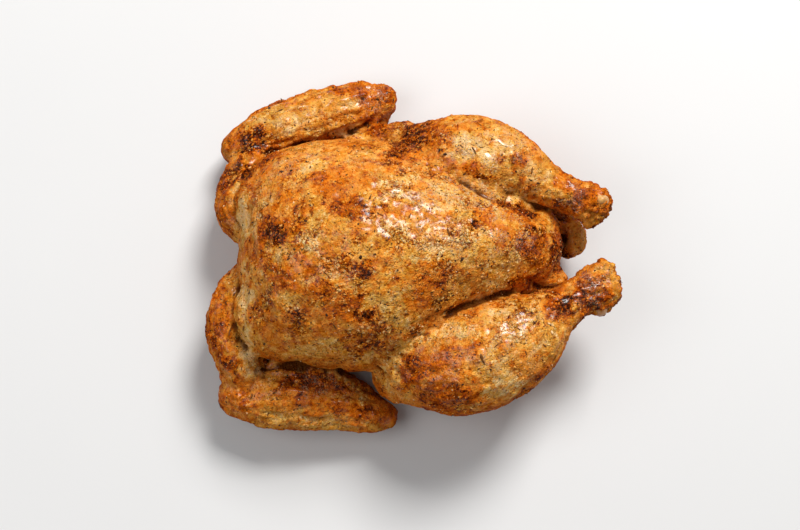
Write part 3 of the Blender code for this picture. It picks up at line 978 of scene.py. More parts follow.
TOUCHES = (
    (AMBER, -83, 41, 7, 6, 0, 0.7), (BROWN, -61, 12, 6, 5, 0, 0.6), (AMBER, -9, 21, 9, 7),
    (CREAM, 7, 33, 11, 6, -35), (CREAM, 14, 23, 9, 6, -20), (CHAR, 59, 26, 10, 3.5, -25, 0.8),
    (CREAM, 68, 44, 10, 5, -25), (GOLDEN, 80, 36, 8, 4, -25), (CREAM, 31, 58, 14, 7, -10),
    (GOLDEN, 46, 47, 10, 5, -25), (AMBER, -29, -1, 7, 5), (GOLDEN, -4, -3, 10, 4, 0, 0.7),
    (GOLDEN, 29, -1, 12, 5, 0, 0.8), (AMBER, 1, -12, 14, 4, -5, 0.7),
    (RUST, -50, -22, 8, 6, -10, 0.8), (ORANGE, -62, -20, 6, 5, 0, 0.7),
    (RUST, -39, -32, 7, 5, 0, 0.6), (ORANGE, 3, -31, 8, 5, 20, 0.7),
    (GOLDEN, -8, -22, 7, 5, 0, 0.7), (BROWN, -18, -52, 8, 5, -10, 0.5),
    (CREAM, 60, -53, 12, 6, 22, 0.8), (GOLDEN, -58, 77, 9, 4, 12, 0.8),
    (CREAM, -42, 78, 8, 4, 12, 0.8), (ORANGE, -36, -82, 9, 5, -12, 0.7),
    (ORANGE, -54, -73, 8, 4, -8, 0.6), (AMBER, -76, -73, 9, 5, 0, 0.7),
    (BROWN, 74, -19, 7, 4, -15, 0.6), (AMBER, 4, 17, 8, 6, -20, 0.8), (AMBER, 8, 9, 9, 4, -10, 0.6),
    (AMBER, -19, 27, 6, 9, 0, 0.7), (ORANGE, -30, 38, 7, 9, 0, 0.7),
    (ORANGE, -67, 33, 9, 5, 0, 0.5), (GOLDEN, 46, -66, 10, 6, 20), (GOLDEN, 42, -18, 9, 4, 15),
    (ORANGE, -90, 3, 8, 7), (RUST, -84, -4, 8, 6, 0, 0.6), (CREAM, -95, -24, 4, 9, 5),
    (RUST, 18, -78, 16, 7, 0, 0.8), (AMBER, -44, -77, 12, 5, -10, 0.8),
    (AMBER, -84, -50, 8, 6, -20, 0.6), (AMBER, 57, -10, 7, 6, 0, 0.7), (CHAR, 80, 2, 5, 10, 0, 0.7),
    (AMBER, -29, 0, 7, 5, 0, 0.7), (GOLDEN, -10, -10, 12, 6, 0, 0.6),
    (GOLDEN, 24, -4, 16, 7, 0, 0.6), (CREAM, 46, -34, 10, 4, 20, 0.6),
    (GOLDEN, -48, 80, 16, 6, 12, 0.6), (AMBER, 28, 74, 20, 6, -6, 0.7),
    (AMBER, 54, 68, 12, 5, -28, 0.6), (CREAM, 34, 58, 14, 6, -12), (BARE, 31, 39, 7, 4, -20, 0.8),
    (GOLDEN, 30, 56, 12, 5, -12, 0.5), (CREAM, 33, 60, 9, 5, -12, 0.8),
    (AMBER, 30, 76, 20, 6, -6, 0.8), (RUST, 60, -14, 9, 4, 15, 0.8),
    (BROWN, 46, -20, 9, 3, 22, 0.2), (RUST, -54, 40, 5, 4, 0, 0.6), (RUST, 0, 22, 6, 3, -30, 0.6),
    (RUST, 20, -11, 10, 4, -15, 0.4), (RUST, 2, -62, 6, 9, 10, 0.8),
    (GOLDEN, 44, -64, 12, 9, 20, 0.7), (AMBER, 56, -56, 12, 6, 30, 0.6),
    (RUST, -22, 78, 8, 6, 0, 0.7), (RUST, 16, 68, 8, 8, 20, 0.6), (AMBER, 26, -36, 12, 4, 20, 0.4),
    (AMBER, 36, -46, 14, 5, 20, 0.6), (GOLDEN, -34, -78, 12, 4, -15, 0.6),
    (CREAM, 50, -72, 8, 7, 30, 0.6), (GOLDEN, -28, -1, 9, 6, 0, 0.7), (AMBER, 72, 20, 6, 5, 0, 0.7),
    (AMBER, 72, -2, 6, 5, 0, 0.6), (ORANGE, 6, 31, 10, 6, -30, 0.5),
    (AMBER, 12, 16, 12, 5, -20, 0.6), (ORANGE, -92, 40, 6, 10, 10, 0.5),
    (AMBER, 4, 18, 12, 8, -20, 0.7), (RUST, -20, 20, 8, 5, 0, 0.4), (AMBER, -42, 9, 9, 6, 0, 0.7),
    (GOLDEN, 32, -5, 16, 6, 0, 0.6), (GOLDEN, 25, 22, 6, 5, 0, 0.6),
    (CREAM, 46, -66, 9, 8, 20, 0.4), (RUST, 53, 27, 9, 3, -25, 0.6),
    (SANDY, 54, -42, 14, 6, 22, 0.8), (AMBER, -42, -74, 10, 4, -15, 0.6),
    (BROWN, -84, 66, 8, 5, 20, 0.7), (AMBER, -62, 66, 10, 4, 15, 0.7),
    (BROWN, 86, -1, 6, 6, 0, 0.8), (GOLDEN, -28, -20, 8, 5, 0, 0.6),
    (ORANGE, 104, 32, 8, 9, 0, 0.6), (RUST, 98, -16, 8, 6, 20, 0.5),
    (RUST, -56, -70, 20, 5, -6, 0.6), (ORANGE, -54, -80, 14, 4, -8, 0.6),
    (GOLDEN, 60, -46, 12, 6, 25, 0.5), (RUST, 84, 20, 5, 6, 0, 0.5),
)
PATCHES = tuple(
    (roast, Oval(*oval)) for roast, *oval in BREAST_PATCHES + WING_PATCHES + LEG_PATCHES + TOUCHES
)

# Ovals of skin that are wet with juice: a thicker coat of fat there, and painted
# glints on the glint threads.
WET_GLINT_PATCHES = tuple(
    Oval(*row)
    for row in (
        (34, 58, 18, 8, -12, 1), (54, 58, 14, 7, -25, 0.8), (60, -40, 20, 7, 22, 0.35),
        (40, -54, 18, 9, 25, 0.7), (30, 32, 18, 9, -28, 1), (4, 30, 16, 8, -30, 0.8),
        (50, 10, 16, 12, -30), (16, 4, 16, 7, -12, 0.7), (-22, 93, 12, 9, 10),
        (-62, 84, 14, 7, 15, 0.5), (86, 32, 10, 6, -20, 0.7), (98, -22, 8, 8, 20, 0.7),
        (-50, -72, 18, 6, -8), (-66, 48, 16, 6, 20, 0.5), (14, -62, 14, 12, 10, 0.35),
        (100, -16, 9, 8, 0, 0.8),
    )
)


# --------------------------------------------------------------------------- shader maths


Socket = bpy.types.NodeSocket
Input = Union["Value", float, Sequence[float], Socket]


class Value:
    """A value socket of a shader that Python's arithmetic turns into Math nodes."""

    def __init__(self, graph: "Graph", socket: Socket) -> None:
        """Wrap one output socket of a graph."""
        self.graph = graph
        self.socket = socket

    def __add__(self, other: Input) -> "Value":
        """Sum."""
        return self.graph.math("ADD", self, other)

    __radd__ = __add__

    def __sub__(self, other: Input) -> "Value":
        """Difference."""
        return self.graph.math("SUBTRACT", self, other)

    def __rsub__(self, other: Input) -> "Value":
        """Difference from a number."""
        return self.graph.math("SUBTRACT", other, self)

    def __mul__(self, other: Input) -> "Value":
        """Product."""
        return self.graph.math("MULTIPLY", self, other)

    __rmul__ = __mul__

    def between(self, low: float, high: float) -> "Value":
        """Rise smoothly from 0 to 1.

        Args:
            low: Value where the rise starts.
            high: Value where it ends.

        Returns:
            The risen value.
        """
        settings = {"interpolation_type": "SMOOTHSTEP"}
        inputs = {"Value": self, "From Min": low, "From Max": high}
        return self.graph.value("ShaderNodeMapRange", settings, inputs, "Result")


class Graph:
    """The node tree of one material, with its Principled BSDF."""

    def __init__(self, name: str) -> None:
        """Start a material whose tree holds a shader and an output.

        Args:
            name: Name of the material.
        """
        self.material = bpy.data.materials.new(name)
        self.material.use_nodes = True
        self.tree = self.material.node_tree
        self.shader = self.tree.nodes["Principled BSDF"]

    def node(self, kind: str, settings: dict[str, Any], inputs: dict[Any, Input]) -> bpy.types.Node:
        """Add a node.

        Args:
            kind: Blender's name for the node's type.
            settings: Properties to set first; "stops" fills a colour ramp.
            inputs: Values or links of its sockets, by socket name or number.

        Returns:
            The new node.
        """
        node = self.tree.nodes.new(kind)
        for name, setting in settings.items():
            if name == "stops":
                self._fill_ramp(node.color_ramp, setting)
            else:
                setattr(node, name, setting)
        for name, value in inputs.items():
            self.connect(node.inputs[name], value)
        return node

    @staticmethod
    def _fill_ramp(ramp: bpy.types.ColorRamp, stops: Stops) -> None:
        """Give a ramp its stops.

        Args:
            ramp: The ramp.
            stops: Places and colours.
        """
        while len(ramp.elements) < len(stops):
            ramp.elements.new(1.0)
        for element, (place, colour) in zip(ramp.elements, stops):
            element.position = place
            element.color = (*colour, 1.0)

    def connect(self, socket: Socket, value: Input) -> None:
        """Link an input socket to an output or set its value.

        Args:
            socket: The input socket.
            value: An output of the tree, or a constant.
        """
        if isinstance(value, Value):
            self.tree.links.new(value.socket, socket)
        elif isinstance(value, Socket):
            self.tree.links.new(value, socket)
        elif isinstance(value, tuple) and len(value) == 3 and socket.type == "RGBA":
            socket.default_value = (*value, 1.0)
        else:
            socket.default_value = value

    def value(
        self, kind: str, settings: dict[str, Any], inputs: dict[Any, Input], output: Union[int, str] = 0
    ) -> Value:
        """Add a node and wrap one of its value outputs."""
        return Value(self, self.node(kind, settings, inputs).outputs[output])

    def math(self, operation: str, *values: Input) -> Value:
        """Add a Math node."""
        return self.value("ShaderNodeMath", {"operation": operation}, dict(enumerate(values)))

    def mix(self, factor: Input, low: Input, high: Input) -> Socket:
        """Mix two colours.

        Args:
            factor: Share of the second, from 0 to 1.
            low: The first colour.
            high: The second colour.

        Returns:
            The mixed colour.
        """
        factor_input, low_input, high_input, colour_output = 0, 6, 7, 2
        inputs = {factor_input: factor, low_input: low, high_input: high}
        return self.node("ShaderNodeMix", {"data_type": "RGBA"}, inputs).outputs[colour_output]

    def place(self) -> Socket:
        """The object coordinates, in metres."""
        return self.node("ShaderNodeTexCoord", {}, {}).outputs["Object"]

    def attribute(self, name: str) -> Value:
        """A number that the mesh stores at its points."""
        return self.value("ShaderNodeAttribute", {"attribute_name": name}, {}, "Fac")

    def noise(self, place: Input, size: float, detail: float, roughness: float = 0.5) -> Value:
        """Noise of 0 to 1 whose lumps have a size in millimetres."""
        inputs = {"Vector": place, "Scale": 1.0 / (size * MM), "Detail": detail, "Roughness": roughness}
        return self.value("ShaderNodeTexNoise", {}, inputs)

    def cells(self, place: Input, size: float, output: str, feature: str = "F1") -> Value:
        """A number of cells a size in millimetres wide: a tint of their own, or a distance.

        Args:
            place: Where to look.
            size: Width of a cell.
            output: "Color" for the tint, "Distance" for the distance in cell widths.
            feature: What the distance is to, the cell's dot or its edge.

        Returns:
            The number, of 0 to about 1.
        """
        inputs = {"Vector": place, "Scale": 1.0 / (size * MM)}
        return self.value("ShaderNodeTexVoronoi", {"feature": feature}, inputs, output)

    def threads(self, place: Input, size: float, width: float) -> Value:
        """Thin lines where a noise of a size in millimetres crosses its middle, 1 on the line."""
        gap = self.math("ABSOLUTE", self.noise(place, size, 3.0, 0.7) - 0.5)
        return gap.between(width, 0.0)

    def warped(self, place: Input, size: float, shift: float) -> Socket:
        """Move places by noise.

        Args:
            place: The places.
            size: Size of the noise's lumps in millimetres.
            shift: How far a place moves at most, in millimetres.

        Returns:
            The moved places.
        """
        inputs = {"Vector": place, "Scale": 1.0 / (size * MM), "Detail": 2.0}
        way = self.node("ShaderNodeTexNoise", {}, inputs).outputs["Color"]
        way = self.vector("SUBTRACT", {0: way, 1: (0.5, 0.5, 0.5)})
        way = self.vector("SCALE", {0: way, "Scale": 2.0 * shift * MM})
        return self.vector("ADD", {0: place, 1: way})

    def vector(self, operation: str, inputs: dict[Any, Input]) -> Socket:
        """Add a Vector Math node."""
        return self.node("ShaderNodeVectorMath", {"operation": operation}, inputs).outputs[0]

    def ramp(self, factor: Input, stops: Stops) -> Socket:
        """Colours along a ramp."""
        return self.node("ShaderNodeValToRGB", {"stops": stops}, {"Fac": factor}).outputs["Color"]

    def bump(self, height: Value, distance: float, under: Optional[Socket] = None) -> Socket:
        """Turn a height into a normal, on top of another normal.

        Args:
            height: Height of 0 to 1.
            distance: Height of 1 in millimetres.
            under: Normal to start from.

        Returns:
            The normal's socket.
        """
        inputs: dict[Any, Input] = {"Height": height, "Distance": distance * MM, "Strength": 1.0}
        if under is not None:
            inputs["Normal"] = under
        return self.node("ShaderNodeBump", {}, inputs).outputs["Normal"]

    def set(self, **values: Input) -> None:
        """Set or link sockets of the shader, named with underscores for spaces."""
        for name, value in values.items():
            self.connect(self.shader.inputs[name.replace("_", " ")], value)


# --------------------------------------------------------------------------- finishes


class SkinLayers:
    """What the skin's colour, gloss and relief are mixed from.

    These are the numbers that the mesh stores, and noises and cells of falling size.
    Clouds are about 0 on average, and everything else is 0 to 1. Granular is where the
    skin is all grains. Crackle and the two threads are thin lines; the glint threads
    are coloured as painted glints.
    """

    def __init__(self, graph: Graph) -> None:
        """Lay the layers out, with their sizes in millimetres.

        Args:
            graph: The graph to lay them in.
        """
        place = graph.place()
        stored_looks = [graph.attribute(name) for name in LOOKS]
        self.tone, self.warmth, self.crust, grain, self.gloss, self.wet, self.crease = stored_looks
        self.mottle = graph.noise(place, 8.0, 4.0, 0.65) - 0.5
        self.blotch = graph.noise(place, 4.0, 3.0, 0.6) - 0.5
        self.grit = graph.noise(place, 1.5, 2.0, 0.7) - 0.5
        self.dust = graph.noise(place, 0.8, 1.0) - 0.5
        self.warm_cloud = graph.noise(place, 6.0, 4.0, 0.7) - 0.5
        ragged = graph.noise(place, 5.0, 4.0, 0.65) - 0.5
        self.granular = (grain + ragged * 1.9).between(0.15, 0.85)
        torn = graph.warped(place, 4.0, 2.6)
        self.chunk = graph.cells(torn, 5.0, "Color") - 0.5
        self.chip = graph.cells(torn, 2.6, "Color") - 0.5
        bent = graph.warped(place, 2.4, 1.1)
        self.tint = graph.cells(bent, 1.7, "Color") - 0.5
        self.dome = graph.cells(bent, 1.7, "Distance").between(0.75, 0.1)
        self.gaps = graph.cells(bent, 1.7, "Distance", "DISTANCE_TO_EDGE").between(0.14, 0.02)
        self.crackle = graph.threads(place, 3.2, 0.05) * (self.granular * 0.85 + 0.15)
        dark = graph.threads(bent, 2.1, 0.045) * graph.noise(place, 5.5, 3.0).between(0.44, 0.62)
        self.dark_threads = dark * (self.granular * 0.75 + 0.25)
        pale = graph.noise(place, 7.0, 3.0).between(0.42, 0.58)
        self.glint_threads = graph.threads(torn, 1.9, 0.040) * pale
        clumped = graph.noise(place, 9.0, 2.0).between(0.45, 0.65) * 0.05
        specks = graph.noise(place, 1.3, 2.0) + self.crust * 0.10 + clumped + self.granular * 0.03
        self.specks = specks.between(0.68, 0.72)
        spots = (graph.noise(place, 4.2, 3.0, 0.65) + clumped).between(0.61, 0.68)
        self.spots = spots * (self.granular * 0.6 + 0.4)
        self.greasy = (graph.noise(place, 6.0, 3.0) - self.tone * 0.15).between(0.38, 0.54)


@dataclass(frozen=True)
class SkinFinish:
    """Greasy roasted skin: golden and orange tones from cream to char, with fine grit."""

    golden: Stops = (
        (0.00, (0.92, 0.64, 0.29)),
        (0.22, (0.83, 0.430, 0.080)),
        (0.44, (0.66, 0.225, 0.012)),
        (0.64, (0.36, 0.078, 0.002)),
        (0.83, (0.12, 0.022, 0.001)),
        (1.00, (0.032, 0.007, 0.001)),
    )
    orange: Stops = (
        (0.00, (0.90, 0.51, 0.21)),
        (0.22, (0.83, 0.315, 0.042)),
        (0.44, (0.65, 0.148, 0.004)),
        (0.64, (0.35, 0.050, 0.001)),
        (0.83, (0.110, 0.013, 0.001)),
        (1.00, (0.030, 0.005, 0.001)),
    )
    # Pale pink of the painted glints on the glint threads.
    painted_glint: Colour = (0.95, 0.68, 0.46)
    # Dark brown of the painted shade in the creases.
    painted_crease_shade: Colour = (0.070, 0.015, 0.002)
    roughness: float = 0.55
    coat_roughness: float = 0.22

    def colour(self, graph: Graph, skin: SkinLayers) -> Socket:
        """Mix the colour of the skin.

        The shade runs from cream to char and the hue from golden to orange. Both start
        from the placed tone and warmth, and are broken up by the layers. Painted glints
        on the glint threads, most where the skin is wet, and painted shade in the
        creases lie on top.

        Args:
            graph: The skin's graph.
            skin: Its layers.

        Returns:
            The colour.
        """
        # Gaps between grains darker, domes lighter: the skin's dark net, and painted shade and light that
        # follow the grains' bump.
        fine = skin.tint * 0.95 + skin.gaps * 0.34 - skin.dome * 0.12 + skin.grit * 0.60
        shade = skin.tone + skin.mottle * 0.28 + skin.chunk * 0.14
        shade = shade + skin.chip * (skin.granular * 0.12 + 0.16) + skin.blotch * 0.28
        shade = shade + fine * (skin.granular + 0.08) + skin.crackle * 0.20 + skin.specks * 0.36
        shade = shade + skin.dark_threads * 0.42 + skin.spots * 0.34 - 0.012
        hue = skin.warmth + skin.warm_cloud * 0.9 + skin.chunk * 0.5 - skin.chip * 0.8
        hue = hue + skin.grit * 0.5 + skin.tint * skin.granular * 0.6 + 0.08
        golden, orange = graph.ramp(shade, self.golden), graph.ramp(shade, self.orange)
        colour = graph.mix(hue.between(0.0, 1.0), golden, orange)
        # Painted glints: the glint threads turn pale pink, most where the skin is wet.
        colour = graph.mix(skin.glint_threads * (skin.wet * 0.65 + 0.08), colour, self.painted_glint)
        # Painted shade: hollow creases turn dark brown.
        return graph.mix(skin.crease.between(0.08, 0.9) * 0.9, colour, self.painted_crease_shade)

    def normal(self, graph: Graph, skin: SkinLayers) -> Socket:
        """Raise blotches, curls, grains, grit and dust, each on top of the last.

        Args:
            graph: The skin's graph.
            skin: Its layers.

        Returns:
            The normal.
        """
        normal = graph.bump(skin.blotch, 0.6)
        normal = graph.bump(skin.glint_threads - skin.dark_threads - skin.crackle, 0.28, normal)
        grains = skin.dome * (skin.granular * 0.7 + skin.wet * 0.4 + 0.15)
        normal = graph.bump(grains, 0.60, normal)
        normal = graph.bump(skin.grit, 1.40, normal)
        return graph.bump(skin.dust, 0.45, normal)

    def material(self) -> bpy.types.Material:
        """Build the skin's material, with a coat of fat that is thicker where it is wet.

        Returns:
            The material of the skin.
        """
        graph = Graph("roasted_skin")
        skin = SkinLayers(graph)
        fat = (skin.greasy * 0.75 + skin.wet * 0.5) * skin.gloss
        graph.set(
            Base_Color=self.colour(graph, skin),
            Roughness=self.roughness - skin.greasy * 0.10 + skin.crease * 0.2,
            Specular_IOR_Level=0.02,
            Coat_Weight=fat * (1.0 - skin.crease),
            Coat_Roughness=self.coat_roughness,
            Coat_IOR=1.42,
            Subsurface_Weight=0.08,
            Subsurface_Radius=(1.0, 0.35, 0.12),
            Subsurface_Scale=2.0 * MM,
            Normal=self.normal(graph, skin),
        )
        return graph.material


@dataclass(frozen=True)
class SpeckFinish:
    """Dry flakes or grains whose colour differs from one to the next."""

    dark: Colour
    light: Colour
    roughness: float
    coat: float = 0.0

    def material(self, name: str) -> bpy.types.Material:
        """Colour each flake between the two colours, with fine mottling.

        Args:
            name: Name of the material.

        Returns:
            The material of the flakes.
        """
        graph = Graph(name)
        grain = graph.noise(graph.place(), 0.5, 2.0)
        lightness = (graph.attribute("shade") * 0.75 + grain * 0.5 - 0.1).between(0.0, 1.0)
        graph.set(
            Base_Color=graph.mix(lightness, self.dark, self.light),
            Roughness=self.roughness + (grain - 0.5) * 0.2,
            Specular_IOR_Level=0.12,
            Coat_Weight=self.coat,
            Coat_Roughness=0.25,
            Normal=graph.bump(grain, 0.08),
        )
        return graph.material


@dataclass(frozen=True)
class BoneFinish:
    """Bare cartilage and bone, ivory to tan with brown stains."""

    ivory: Colour = (0.62, 0.33, 0.09)
    stain: Colour = (0.33, 0.12, 0.03)

    def material(self) -> bpy.types.Material:
        """Stain the ivory with two sizes of noise.

        Returns:
            The material of the bone ends.
        """
        graph = Graph("bare_bone")
        place = graph.place()
        stain = graph.noise(place, 5.0, 4.0).between(0.45, 0.75)
        fine = graph.noise(place, 0.9, 3.0)
        graph.set(
            Base_Color=graph.mix(stain * 0.8, self.ivory, self.stain),
            Roughness=0.38 + fine * 0.2,
            Coat_Weight=0.3,
            Coat_Roughness=0.2,
            Subsurface_Weight=0.15,
            Subsurface_Radius=(1.0, 0.6, 0.3),
            Subsurface_Scale=2.0 * MM,
            Normal=graph.bump(fine, 0.15),
        )
        return graph.material


@dataclass(frozen=True)
class FloorFinish:
    """Plain pale tabletop."""

    colour: Colour = (0.690, 0.690, 0.690)
    lighter: Colour = (0.7038, 0.7038, 0.7038)

    def material(self) -> bpy.types.Material:
        """Mottle the floor faintly, and make it satin.

        Returns:
            The material of the floor.
        """
        graph = Graph("pale_floor")
        cloud = graph.noise(graph.place(), 90.0, 3.0)
        graph.set(Base_Color=graph.mix(cloud, self.colour, self.lighter), Roughness=0.6)
        return graph.material


# --------------------------------------------------------------------------- pieces


def finish_piece(surface: Surface, name: str, material: bpy.types.Material) -> bpy.types.Object:
    """Make an object that rides on the bird's body.

    Args:
        surface: Points in metres and faces.
        name: Name of the piece.
        material: Its finish.

    Returns:
        The new object, at the origin.
    """
    mesh = surface.mesh(name)
    mesh.materials.append(material)
    piece = add_object(name, mesh)
    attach(piece, BODY)
    triangles = len(surface.faces) * (surface.faces.shape[1] - 2)
    LOG.info("%s: %d points, %d triangles", name, len(surface.points), triangles)
    return piece


def store(mesh: bpy.types.Mesh, name: str, values: Array) -> None:
    """Store one number per point on a mesh."""
    mesh.attributes.new(name, "FLOAT", "POINT").data.foreach_set("value", values.astype(np.float32))


def store_looks(mesh: bpy.types.Mesh, looks: dict[str, Array]) -> None:
    """Store looks on a mesh by name, cut off at 0 and 1."""
    for name, values in looks.items():
        store(mesh, name, np.clip(values, 0.0, 1.0))


def stored(mesh: bpy.types.Mesh, name: str) -> Array:
    """Read back a number that a mesh stores at each point.

    Args:
        mesh: The mesh.
        name: Name of the number.

    Returns:
        One value for each point.
    """
    values = np.empty(len(mesh.vertices), dtype=np.float32)
    mesh.attributes[name].data.foreach_get("value", values)
    return values.astype(float)


@dataclass(frozen=True)
class Fit:
    """The shift and stretch that bring the bird's frame onto the CAD solid's box."""

    source_low: Array
    source_high: Array
    low: Array
    high: Array

    @classmethod
    def onto_solid(cls, points: Array) -> "Fit":
        """Fit the box of points, cut off at z = 0, to the solid's box.

        Args:
            points: Points in the bird's frame, millimetres.

        Returns:
            The way between the boxes.
        """
        low, high = (np.array(corner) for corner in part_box(NODE))
        resting = cls.resting(points)
        return cls(resting.min(axis=0), resting.max(axis=0), low, high)

    @staticmethod
    def resting(points: Array) -> Array:
        """Lift what lies below z = 0 onto it."""
        return np.maximum(points, (-math.inf, -math.inf, 0.0))

    def apply(self, points: Array) -> Array:
        """Bring points from the bird's frame, in millimetres, to the CAD frame, in metres."""
        share = (self.resting(points) - self.source_low) / (self.source_high - self.source_low)
        return self.low + share * (self.high - self.low)


@dataclass(frozen=True)
class Bumps:
    """One size of bumps: their height and size in millimetres, and where the noise is read."""

    height: float
    size: float
    shift: float = 0.0
    stretch: Point = (1.0, 1.0, 1.0)
    octaves: int = 2

    def at(self, noise: Noise, points: Array) -> Array:
        """Heights at points, about zero on average."""
        return self.height * noise.fractal(points / self.stretch + self.shift, self.size, self.octaves)


@dataclass(frozen=True)
class Puckers:
    """Lines between puckers of skin, where either of two noises crosses its middle.

    Each noise is a set of bumps, and a line ends a width away from its middle.
    """

    coarse: Bumps = Bumps(1.0, 9.0, 55.0, (1.0, 1.6, 1.0), 3)
    coarse_width: float = 0.13
    fine: Bumps = Bumps(1.0, 6.0, 15.0, (1.5, 1.0, 1.0))
    fine_width: float = 0.12
    fine_share: float = 0.7

    def at(self, noise: Noise, points: Array) -> Array:
        """Find the lines.

        Args:
            noise: Noise to draw the lines from.
            points: Points in the bird's frame.

        Returns:
            Values of 1 on a line and 0 away from it.
        """
        coarse = 1.0 - smooth_step(0.0, self.coarse_width, np.abs(self.coarse.at(noise, points)))
        fine = 1.0 - smooth_step(0.0, self.fine_width, np.abs(self.fine.at(noise, points)))
        return np.maximum(coarse, self.fine_share * fine)


@dataclass(frozen=True)
class Relief:
    """Texture of the skin that is real shape: lumps of meat, ripples, puckers, pimples and crust."""

    bumps: tuple[Bumps, ...] = (
        Bumps(0.60, 26.0),
        Bumps(0.75, 9.0, 90.0),
        Bumps(0.18, 3.6, 40.0),
        Bumps(0.25, 4.0, 0.0, (3.5, 1.0, 1.0)),
    )
    puckers: Puckers = Puckers()
    pucker_depth: float = 0.42
    pimple_height: float = 0.12
    pimple_radius: float = 0.55
    pimple_spacing: float = 3.4
    crust_height: float = 0.35
    crust_bumps: Bumps = Bumps(0.55, 2.6, 70.0)
    fold_floor: float = 8.0
    noise: Noise = Noise(7)

    def height(self, points: Array, crust: Array, limbs: Sequence[Limb]) -> Array:
        """Height of the texture over the bare shape.

        It adds noise of falling size, the wrinkles of each limb, and rough crust where
        the skin is charred. The folds are sunk into it.

        Args:
            points: Points in the bird's frame.
            crust: How crusted each point is.
            limbs: Limbs whose wrinkles are added.

        Returns:
            Heights along the normals, in millimetres.
        """
        height = np.zeros(len(points))
        for bumps in self.bumps:
            height += bumps.at(self.noise, points)
        height -= self.pucker_depth * self.puckers.at(self.noise, points)
        gap = self.noise.cells(points, self.pimple_spacing)
        height += self.pimple_height * (1.0 - smooth_step(0.0, self.pimple_radius, gap))
        for limb in limbs:
            height += limb.wrinkles(points, self.noise)
        for fold in FOLDS:
            height -= fold.sink(points[:, :2]) * (points[:, 2] > self.fold_floor)
        height += crust * (self.crust_height + np.abs(self.crust_bumps.at(self.noise, points)))
        return height


@dataclass(frozen=True)
class Browning:
    """Colours of the skin: ragged zones from noise, with the placed patches over them."""

    noise: Noise = Noise(23)
    octaves: int = 4
    breast_width: float = 46.0
    breast_heights: tuple[float, float] = (60.0, 85.0)
    ragged: Bumps = Bumps(0.35, 5.0, 11.0, octaves=3)
    warp: float = 3.5
    warp_size: float = 9.0

    def zones(self, points: Array, size: float, shift: float, edge: float) -> Array:
        """Ragged zones, 0 or 1, whose edge is a steep smooth step over noise of a size."""
        return smooth_step(-edge, edge, self.noise.fractal(points + shift, size, self.octaves))

    def ground(self, points: Array, normals: Array) -> dict[str, Array]:
        """Tone, warmth, crust and grain of the skin where no patch is placed.

        Low sides get painted shade, darker and redder, as well as browning from the
        drippings; the top of the breast has the most grains.

        Args:
            points: Points in the bird's frame.
            normals: Their normals.

        Returns:
            The looks at each point, by name.
        """
        cloud = self.noise.fractal(points, 24.0, self.octaves)
        zone = self.zones(points, 13.0, 70.0, 0.16) - 0.5
        warm_zone = self.zones(points, 15.0, 33.0, 0.20) - 0.5
        grain_zone = self.zones(points, 12.0, 17.0, 0.14)
        # Painted shade: faces turned down are darker and redder.
        low_side_shade = 1.0 - smooth_step(-0.2, 0.75, normals[:, 2])
        breast = np.exp(-((points[:, 1] / self.breast_width) ** 4))
        breast = breast * smooth_step(*self.breast_heights, points[:, 2])
        return {
            "tone": 0.29 + 0.08 * cloud + 0.10 * zone + 0.18 * low_side_shade,
            "warmth": 0.54 + 0.45 * warm_zone + 0.60 * low_side_shade,
            "crust": np.zeros(len(points)),
            "grain": 0.02 + (0.22 + 0.38 * grain_zone) * breast + 0.26 * grain_zone,
        }

    def looks(self, points: Array, normals: Array, puckers: Array) -> dict[str, Array]:
        """Colour the skin.

        Each patch pulls the looks towards its own from above, in the order of the
        tables. Its oval is bent and frayed by noise.

        Args:
            points: Points in the bird's frame.
            normals: Their normals.
            puckers: How near each point is to a line between puckers.

        Returns:
            Tone, warmth, crust, grain, gloss and wetness at each point, by name.
        """
        looks = self.ground(points, normals)
        bends = [self.noise.fractal(points + shift, self.warp_size, 3) for shift in (50.0, 100.0)]
        flat = points[:, :2] + self.warp * np.stack(bends, axis=1)
        ragged = self.ragged.at(self.noise, points)
        from_above = smooth_step(-0.1, 0.3, normals[:, 2])
        for roast, oval in PATCHES:
            amount = oval.amount(flat, ragged) * from_above
            for values, goal in zip(looks.values(), roast.value):
                values += amount * (goal - values)
        # Painted shade: the sunk lines between puckers are darker.
        looks["tone"] += 0.14 * (puckers - 0.25)
        looks["gloss"] = 0.1 + 0.9 * smooth_step(0.45, 0.92, normals[:, 2])
        wet = [oval.amount(flat, ragged) * from_above for oval in WET_GLINT_PATCHES]
        looks["wet"] = np.max(wet, axis=0)
        return looks


